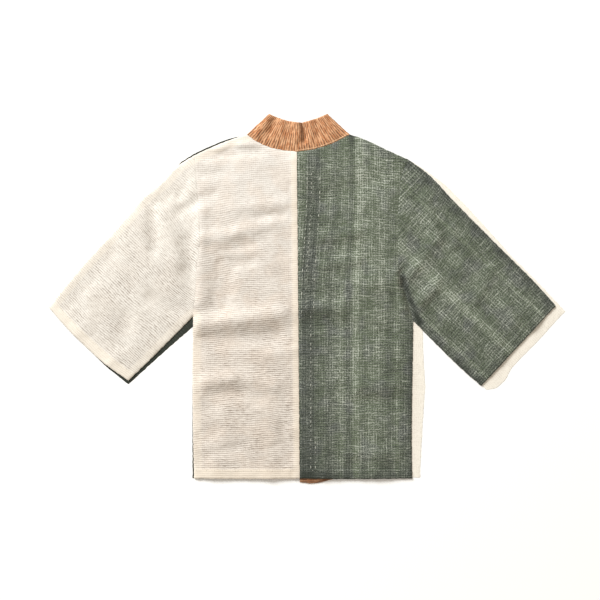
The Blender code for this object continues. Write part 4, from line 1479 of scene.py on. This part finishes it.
class JACKET_OT_fronts(bpy.types.Operator):
    """Make the two fronts and the front halves of the sleeves"""

    bl_idname = "jacket.fronts"
    bl_label = "Fronts"

    def execute(self, context):
        for seed, panel in enumerate(FRONTS):
            lower_panel(panel, seed)
        return {"FINISHED"}


class JACKET_OT_bands(bpy.types.Operator):
    """Make the band round the neck and down the fronts"""

    bl_idname = "jacket.bands"
    bl_label = "Band"

    def execute(self, context):
        for band in BANDS:
            band_piece(band)
        return {"FINISHED"}


class JACKET_OT_backs(bpy.types.Operator):
    """Make the two halves of the back"""

    bl_idname = "jacket.backs"
    bl_label = "Back halves"

    def execute(self, context):
        for seed, panel in enumerate(BACKS):
            upper_panel(panel, seed)
        return {"FINISHED"}


class JACKET_OT_sleeve_backs(bpy.types.Operator):
    """Make the back halves of the two sleeves"""

    bl_idname = "jacket.sleeve_backs"
    bl_label = "Sleeve backs"

    def execute(self, context):
        for seed, panel in enumerate(SLEEVE_BACKS):
            upper_panel(panel, seed + len(BACKS))
        return {"FINISHED"}


class JACKET_OT_stitches(bpy.types.Operator):
    """Make the stitches of the hems, the cuffs and the neck, and the pale threads of the green back"""

    bl_idname = "jacket.stitches"
    bl_label = "Stitches"

    def execute(self, context):
        tints = context.scene.jacket_colours
        cloth = context.scene.jacket_cloth
        pale = thread("pale thread", tints.pale_thread)
        depth = cloth.hem_depth - HEM_ROW_INSET
        above = cloth.fold_step + HEM_ROW_LIFT
        for name, (slot, rows) in HEM_ROWS.items():
            lines = [on_cloth(inside(mouth(node), depth, start, end), above) for node, start, end in rows]
            stitched(name, lines, HEM_STITCH, pale)
        floats = []
        for float_run in FLOATS:
            y = np.arange(float_run.start, float_run.end, FLOAT_STEP)
            line = np.array([place(float_run.x, value) for value in y])
            line[:, 0] += lean(line)
            floats.append(on_cloth(line, THREAD_LIFT))
        dim = thread("dim thread", tints.dim_thread)
        stitched("pale_warp_threads", floats, FLOAT_STITCH, dim)
        line = inside(neck(), NECK_ROW_DEPTH, NECK_ROW_START, NECK_ROW_END)
        row = np.column_stack([line, collar_base(line) + cloth.thickness + THREAD_LIFT])
        rust = thread("rust thread", tints.rust_thread)
        stitched("neck_stitches", [row], NECK_STITCH, rust)
        return {"FINISHED"}


class JACKET_OT_stage(bpy.types.Operator):
    """Make the floor, the light and the camera"""

    bl_idname = "jacket.stage"
    bl_label = "Stage"

    def execute(self, context):
        stage = context.scene.jacket_stage
        scene = context.scene
        ends = (-GROUND_HALF, GROUND_HALF)
        corners = [(x, y, -GROUND_BELOW) for x in ends for y in ends]
        mesh = bpy.data.meshes.new("ground")
        mesh.from_pydata(corners, [], [(0, 2, 3, 1)])
        ground = linked("ground", mesh)
        finish = Finish("ground")
        finish.feed("Base Color", colour(stage.floor))
        finish.feed("Roughness", 1.0)
        finish.feed("Specular IOR Level", 0.0)
        mesh.materials.append(finish.material)

        world = bpy.data.worlds.new("studio")
        world.use_nodes = True
        background = world.node_tree.nodes["Background"]
        background.inputs["Color"].default_value = colour(stage.sky_light)
        background.inputs["Strength"].default_value = stage.sky
        scene.world = world

        key = bpy.data.lights.new("window", "AREA")
        key.shape = "DISK"
        key.size = WINDOW_WIDTH
        key.energy = stage.key
        key.color = stage.key_light
        window = linked("window", key)
        window.location = WINDOW_PLACE
        window.rotation_euler = (-Vector(WINDOW_PLACE)).to_track_quat("-Z", "Y").to_euler()

        data = bpy.data.cameras.new("camera")
        data.lens = stage.lens
        data.clip_end = VIEW_END
        camera = linked("camera", data)
        height = stage.view_width * data.lens / data.sensor_width
        camera.location = (stage.view_x, stage.view_y, height)
        scene.camera = camera
        scene.view_settings.view_transform = "Standard"
        return {"FINISHED"}


class JACKET_PT_pieces(bpy.types.Panel):
    """Sizes, colours and pieces of the jacket"""

    bl_label = "Jacket"
    bl_idname = "JACKET_PT_pieces"
    bl_space_type = "VIEW_3D"
    bl_region_type = "UI"
    bl_category = "Jacket"

    def draw(self, context):
        for setting in GROUPS:
            group = getattr(context.scene, setting)
            box = self.layout.box()
            for name in group.__annotations__:
                box.prop(group, name)
        for operator in OPERATORS:
            self.layout.operator(operator.bl_idname)


OPERATORS = (
    JACKET_OT_fronts,
    JACKET_OT_bands,
    JACKET_OT_backs,
    JACKET_OT_sleeve_backs,
    JACKET_OT_stitches,
    JACKET_OT_stage,
)
GROUPS = {"jacket_cloth": JacketCloth, "jacket_colours": JacketColours, "jacket_stage": JacketStage}


def register():
    """Adds the settings, the operators and the panel."""
    for name, group in GROUPS.items():
        bpy.utils.register_class(group)
        setattr(bpy.types.Scene, name, PointerProperty(type=group))
    for operator in OPERATORS:
        bpy.utils.register_class(operator)
    bpy.utils.register_class(JACKET_PT_pieces)


def unregister():
    """Takes them out again."""
    bpy.utils.unregister_class(JACKET_PT_pieces)
    for operator in reversed(OPERATORS):
        bpy.utils.unregister_class(operator)
    for name, group in GROUPS.items():
        delattr(bpy.types.Scene, name)
        bpy.utils.unregister_class(group)


def main():
    """Makes the pieces and the stage in order."""
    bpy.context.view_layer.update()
    register()
    bpy.ops.jacket.fronts()
    bpy.ops.jacket.bands()
    bpy.ops.jacket.backs()
    bpy.ops.jacket.sleeve_backs()
    bpy.ops.jacket.stitches()
    bpy.ops.jacket.stage()


if __name__ == "__main__":
    main()
